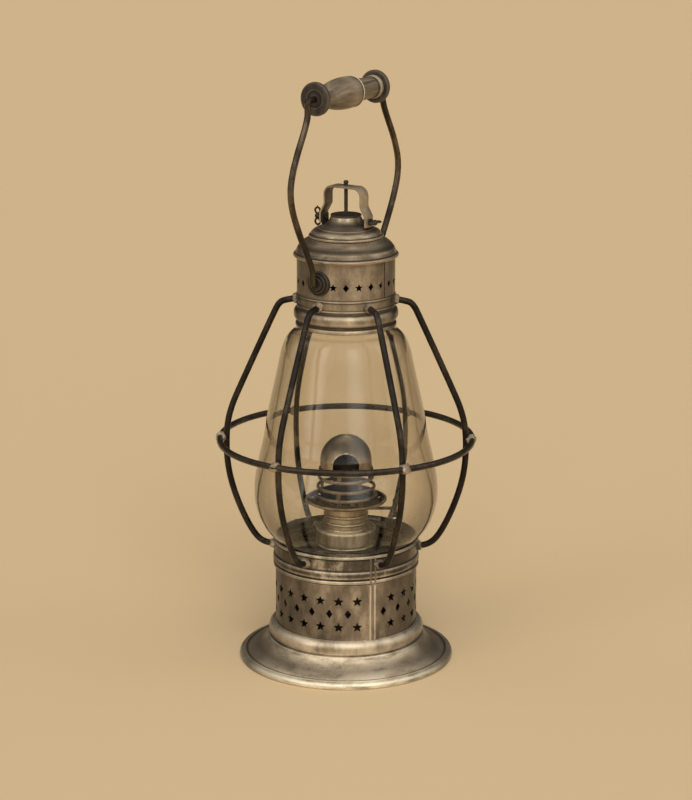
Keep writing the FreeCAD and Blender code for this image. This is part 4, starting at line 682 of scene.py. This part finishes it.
cowl_bead, cowl_wall, cowl_step, cowl_mouth = 27.9, 25.6, 21.0, 11.2
cowl = spun(outline([
    (cap_mouth, cowl_foot), (cowl_bead, cowl_foot, 0.7), (cowl_bead, cowl_foot + 1.7, 0.7),
    (cowl_wall + 1, cowl_foot + 2.0, 0.3), (cowl_wall, cowl_foot + 4.8, 2.0), (cowl_step + 0.9, cowl_foot + 6.1, 0.4),
    (cowl_step, cowl_foot + 7.0, 0.3), (cowl_step - 1.2, cowl_foot + 7.1, 0.3), (14.0, cowl_foot + 9.4, 4.5),
    (cowl_mouth, cowl_top, 0.3), (cowl_mouth - SHEET, cowl_top), (13.2, cowl_foot + 8.8, 4.0),
    (cowl_step - 2, cowl_foot + 6.2), (cowl_step - 0.4, cowl_foot + 6.0), (cowl_wall - 0.6, cowl_foot + 3.6),
]), steps=144)
piece("cowl", cowl, cap_tin, "lantern", "tinplate", "cap_cowl")

# Smoke lid: a small turned disc that drops on the cowl's mouth and lifts on its rod, which is riveted
# through it and runs in a hole in the strap above. The lid can rise until it meets the strap.
dark_iron = metal_with_wear_and_shade("dark_iron", colour(36, 31, 26), colour(54, 47, 39), colour(74, 65, 54),
                       metallic=0.4, rough=(0.36, 0.5), mottle=120)
ROD_HOLE, ROD_SIDE, KNOB_SIDE = 1.3, 1.4, 1.9
lid_side, lid_foot, lid_top = round_box("vent_lid")
lid_disc = spun(outline([
    (ROD_HOLE, lid_foot), (lid_side - 0.9, lid_foot, 0.3), (lid_side, lid_foot + 0.4, 0.3),
    (lid_side, lid_foot + 1.3, 0.4), (6, lid_foot + 1.5, 1), (ROD_HOLE, lid_top),
]), steps=96)
piece("smoke_lid_disc", lid_disc, dark_iron, "smoke_lid", "tinplate", "vent_lid")
_, rod_foot, rod_top = round_box("vent_rod")
rod = spun(outline([
    (0, rod_foot), (ROD_SIDE, rod_foot, 0.4), (ROD_SIDE, rod_top - 2.6, 0.3), (KNOB_SIDE, rod_top - 2.1, 0.3),
    (KNOB_SIDE, rod_top - 0.5, 0.5), (KNOB_SIDE - 1, rod_top), (0, rod_top),
], closed=False), steps=32)
piece("lid_rod", rod, dark_iron, "smoke_lid", "steel_rod", "vent_rod")

# Strap: a band of iron bent over the lid as its guide, its feet screwed to two small lugs on the cowl by
# wing screws, one turned upright and one flat.
# Its inward faces are painted dark as shade, so the leg whose inside shows stays dark.
strap_iron = metal_with_wear_and_shade("strap_iron", colour(100, 87, 69), colour(140, 124, 101), colour(174, 157, 130),
                        metallic=0.4, rough=(0.32, 0.46), mottle=80, inward_shade=0.8)
BAND, BAND_WIDTH, SHOULDER_EASE, KNEE_EASE = 1.5, 10.6, 6.4, 1.1
LOW_KNEE, HIGH_KNEE = 345.6, 352.5
strap_low, strap_high = (corner * 1000 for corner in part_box("vent_strap"))
half_top, half_foot, strap_top = 15.85, strap_high.y - BAND / 2, strap_high.z - BAND / 2
strap = outline([
    (half_foot, strap_low.z), (half_foot, LOW_KNEE, KNEE_EASE), (half_top, HIGH_KNEE, KNEE_EASE),
    (half_top, strap_top, SHOULDER_EASE), (-half_top, strap_top, SHOULDER_EASE),
    (-half_top, HIGH_KNEE, KNEE_EASE), (-half_foot, LOW_KNEE, KNEE_EASE), (-half_foot, strap_low.z),
], closed=False)
turn(strap, strap.verts[:], 90)
shift(strap, strap.verts[:], x=-BAND_WIDTH / 2)
pulled = bmesh.ops.extrude_edge_only(strap, edges=strap.edges[:])["geom"]
shift(strap, [v for v in pulled if isinstance(v, bmesh.types.BMVert)], x=BAND_WIDTH)
bmesh.ops.recalc_face_normals(strap, faces=strap.faces[:])
band = piece("strap", strap, strap_iron, "lantern", "tinplate", "vent_strap")
plate = band.modifiers.new("band_thickness", 'SOLIDIFY')
plate.thickness, plate.offset = BAND / 1000, 0
eased = band.modifiers.new("filed_edges", 'BEVEL')
eased.width, eased.segments, eased.limit_method = 0.00035, 3, 'ANGLE'
finished(dark_iron, "strap_lugs", "strap_screw_left", "strap_screw_right")

# Bail: a bowed iron wire whose ends turn into two stepped bosses riveted to the crown. It swings down to
# either side, and the straight run at its top carries the grip.
boss_iron = metal_with_wear_and_shade("boss_iron", colour(26, 22, 18), colour(38, 33, 28), colour(62, 54, 45),
                       metallic=0.3, rough=(0.45, 0.6), mottle=110)
BAIL_LEVEL, WIRE_BORE = 299.4, 2.45
BOSS_ROOT, BOSS_FLANGE, BOSS_STEP, BOSS_NOSE = 35.4, 9.3, 7.4, 5.0


def turned_piece(corners, side, level, segments=6):
    """A piece turned on a line along X, from corners of (along, out) on one side of the lantern."""
    line = outline([(along * side, *rest) for along, *rest in corners], segments=segments)
    mesh = spun(line, steps=72, axis=(1, 0, 0))
    shift(mesh, mesh.verts[:], z=level)
    return mesh


for side, hand in ((-1, "left"), (1, "right")):
    node = f"bail_ear_{hand}"
    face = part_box(node)[1 if side > 0 else 0].x * 1000 * side
    boss = turned_piece([
        (BOSS_ROOT, WIRE_BORE), (BOSS_ROOT, BOSS_FLANGE, 0.3), (face - 2.8, BOSS_FLANGE, 0.7),
        (face - 2.4, BOSS_STEP, 0.4), (face - 1.4, BOSS_STEP, 0.6), (face - 1.1, BOSS_NOSE, 0.3),
        (face, BOSS_NOSE, 0.6), (face, WIRE_BORE, 0.2),
    ], side, BAIL_LEVEL)
    piece(f"bail_boss_{hand}", boss, boss_iron, "lantern", "dark_iron", node)
bail_half = [(33.6, 0), (41.5, 0), (44.7, 0.2), (45.0, 4.2), (45.1, 12.7), (66.1, 47.1), (74.6, 70.6),
             (69.0, 91.5), (50.6, 122.0), (50.6, 131.0), (50.3, 136.3), (45.0, 136.6), (30, 136.6)]
bail_route = [(out, 0, BAIL_LEVEL + up) for out, up in bail_half]
bail_route += [(-out, 0, level) for out, _, level in bail_route[::-1]]
bail_iron = metal_with_wear_and_shade("bail_iron", colour(42, 36, 29), colour(66, 57, 46), colour(112, 98, 79),
                       metallic=0.75, rough=(0.24, 0.36), mottle=110)
piece("bail_wire", bent_wire("bail", bail_route, WIRE), bail_iron, "bail", "iron_wire", "bail")

# Grip: a barrel of turned wood between two dark end discs, bored to spin on the bail. One turned lip
# stands beyond its middle. The lip and crests are painted lighter, as polish and highlight, and the grooves darker,
# as grime and shade.
GRIP_LEVEL, LIP_PLACE = 436.0, 7.4
wood, tree, shader = new_finish("turned_wood")
place = add(tree, "TexCoord").outputs["Object"]
along = add(tree, "Mapping", Vector=place, Scale=(12, 160, 160)).outputs["Vector"]
fibre = cloudy(tree, along, 1.6, detail=7, roughness=0.65, distortion=0.6)
turned = ramp(tree, fibre, (0.3, colour(66, 57, 46)), (0.5, colour(106, 93, 75)), (0.72, colour(140, 125, 102)))
edge_bend = add(tree, "Attribute", ATTRIBUTE_NAME="edge_bend").outputs["Fac"]
# Crests are painted lighter, as polish and highlight.
polished_and_lit = over(tree, between(tree, edge_bend, 0.15, 0.6, 0, 0.4), turned, colour(206, 190, 162))
across = add(tree, "SeparateXYZ", Vector=place).outputs["X"]
# The lip is painted light, as polish and highlight.
lip_highlight_mask = maths(tree, 'MULTIPLY', maths(tree, 'COMPARE', across, LIP_PLACE / 1000, 0.0008), 0.85)
lit_lip = over(tree, lip_highlight_mask, polished_and_lit, colour(204, 189, 162))
# Grooves are painted dark, as grime and shade.
grooves_shaded_and_grimy = over(tree, between(tree, edge_bend, -0.1, -0.6, 0, 0.85), lit_lip, colour(30, 25, 20))
join(tree, shader, Base_Color=grooves_shaded_and_grimy, Roughness=0.42, Normal=uneven(tree, fibre, 0.25, 0.4))

END_SIDE, BARREL_SIDE, LIP_SIDE, GRIP_NECK = 8.8, 13.0, 11.8, 8.6
wood_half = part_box("grip")[1].x * 1000
barrel = turned_piece([
    (-wood_half, WIRE_BORE), (-wood_half, END_SIDE, 0.8), (-wood_half + 2.9, END_SIDE, 1.2),
    (-wood_half + 4.7, 7.2, 1.2), (-wood_half + 10, 7.9, 3.0), (-19.5, 10.2, 4.0),
    (-2.5, BARREL_SIDE, 15.0), (LIP_PLACE - 0.9, 11.3, 0.4), (LIP_PLACE - 0.5, LIP_SIDE, 0.4),
    (LIP_PLACE + 0.6, LIP_SIDE - 0.2, 0.5), (LIP_PLACE + 0.9, GRIP_NECK, 0.5), (wood_half - 8, 8.0, 4.0),
    (wood_half - 4.7, 7.4, 1.2), (wood_half - 2.9, END_SIDE, 1.2), (wood_half, END_SIDE, 0.8),
    (wood_half, WIRE_BORE),
], 1, GRIP_LEVEL, segments=10)
piece("grip_barrel", barrel, wood, "grip", "turned_wood", "grip")
ebony = metal_with_wear_and_shade("dark_wood", colour(32, 27, 23), colour(50, 43, 37), colour(78, 68, 58),
                   metallic=0, rough=(0.32, 0.5), mottle=120)
DISC_FACE, DISC_SIDE, DISC_HOLLOW = 42.0, 12.4, 6.4
for side, hand in ((-1, "left"), (1, "right")):
    disc = turned_piece([
        (wood_half, WIRE_BORE), (wood_half, DISC_SIDE, 1.0), (DISC_FACE, DISC_SIDE, 1.2),
        (DISC_FACE, DISC_HOLLOW, 0.3), (DISC_FACE - 0.5, DISC_HOLLOW - 0.4, 0.3), (DISC_FACE - 0.5, WIRE_BORE),
    ], side, GRIP_LEVEL)
    piece(f"grip_end_{hand}", disc, ebony, "grip", "dark_wood", f"grip_disc_{hand}")

# Studio floor: a wide flat sheet of pale buff paper. Beyond its edge the camera sees the same plain
# colour in the distance.
PAPER = colour(204, 179, 141)
paper, tree, shader = new_finish("floor_paper")
join(tree, shader, Base_Color=PAPER, Roughness=1, Specular_IOR_Level=0)
ground = bmesh.new()
bmesh.ops.create_circle(ground, cap_ends=True, radius=60, segments=64)
ground_data = bpy.data.meshes.new("floor")
ground.to_mesh(ground_data)
ground.free()
ground_data.materials.append(paper)
ground_piece = bpy.data.objects.new("floor", ground_data)
bpy.context.scene.collection.objects.link(ground_piece)

# Studio light: a large soft sun high in front, a broad glow above it, and upright lit strips in front and
# on both sides for the metal and the glass to mirror. The rest of the room is dim, and all of it warm.
DIM, WARM_WHITE, STRIP_RISE = 0.03, (1, 0.95, 0.87, 1), 8


def facing(angle, rise):
    """The direction of a place in the room, at an angle round the lantern and a rise above it."""
    return Vector((cos(radians(angle)) * cos(radians(rise)), sin(radians(angle)) * cos(radians(rise)),
                   sin(radians(rise))))


world = bpy.data.worlds.new("studio")
world.use_nodes = True
tree = world.node_tree
way = add(tree, "TexCoord").outputs["Generated"]
upright_way = directions(tree, 'NORMALIZE', directions(tree, 'MULTIPLY', way, (1, 1, 0.25)))
room = 0
for looking, towards, low, high, strength in (
        (way, facing(FRONT + 4, 62), 0.2, 1.0, 0.82),
        (upright_way, facing(FRONT + 16, STRIP_RISE), 0.955, 1.0, 1.3),
        (upright_way, facing(FRONT - 50, STRIP_RISE), 0.955, 1.0, 1.6),
        (upright_way, facing(FRONT + 80, STRIP_RISE), 0.965, 1.0, 1.0),
        (upright_way, facing(FRONT - 108, STRIP_RISE), 0.965, 0.995, 0.4),
        (upright_way, facing(FRONT + 112, STRIP_RISE), 0.97, 0.995, 0.3)):
    aim = directions(tree, 'DOT_PRODUCT', looking, towards)
    room = maths(tree, 'ADD', room, between(tree, aim, low, high, 0, strength))
seen = add(tree, "LightPath").outputs["Is Camera Ray"]
join(tree, tree.nodes["Background"], Color=over(tree, seen, WARM_WHITE, PAPER),
     Strength=between(tree, seen, 0, 1, maths(tree, 'ADD', room, DIM), 1))
bpy.context.scene.world = world

sun = bpy.data.lights.new("sun", 'SUN')
sun.angle, sun.energy = radians(40), 1.85
sun_holder = bpy.data.objects.new("sun", sun)
sun_holder.rotation_euler = facing(FRONT + 4, 44).to_track_quat('Z', 'Y').to_euler()
sun_holder.visible_glossy = False
sun_holder.visible_transmission = False
bpy.context.scene.collection.objects.link(sun_holder)

# View: the eye is 1.9 m in front of the lantern and looks a little down on it, so that the skirt, the
# gallery and the cap show as narrow ovals.
EYE_DISTANCE, EYE_HEIGHT, EYE_TILT = 1.9, 0.703, 14.75
view = bpy.data.cameras.new("view")
view.sensor_fit = 'HORIZONTAL'
view.sensor_width = 36
view.lens = 135.1
view.clip_end = 200
camera = bpy.data.objects.new("view", view)
camera.location = (EYE_DISTANCE * cos(radians(FRONT)), EYE_DISTANCE * sin(radians(FRONT)), EYE_HEIGHT)
camera.rotation_euler = (radians(90 - EYE_TILT), 0, radians(FRONT + 90))
bpy.context.scene.collection.objects.link(camera)
bpy.context.scene.camera = camera
bpy.context.scene.view_settings.view_transform = 'Standard'
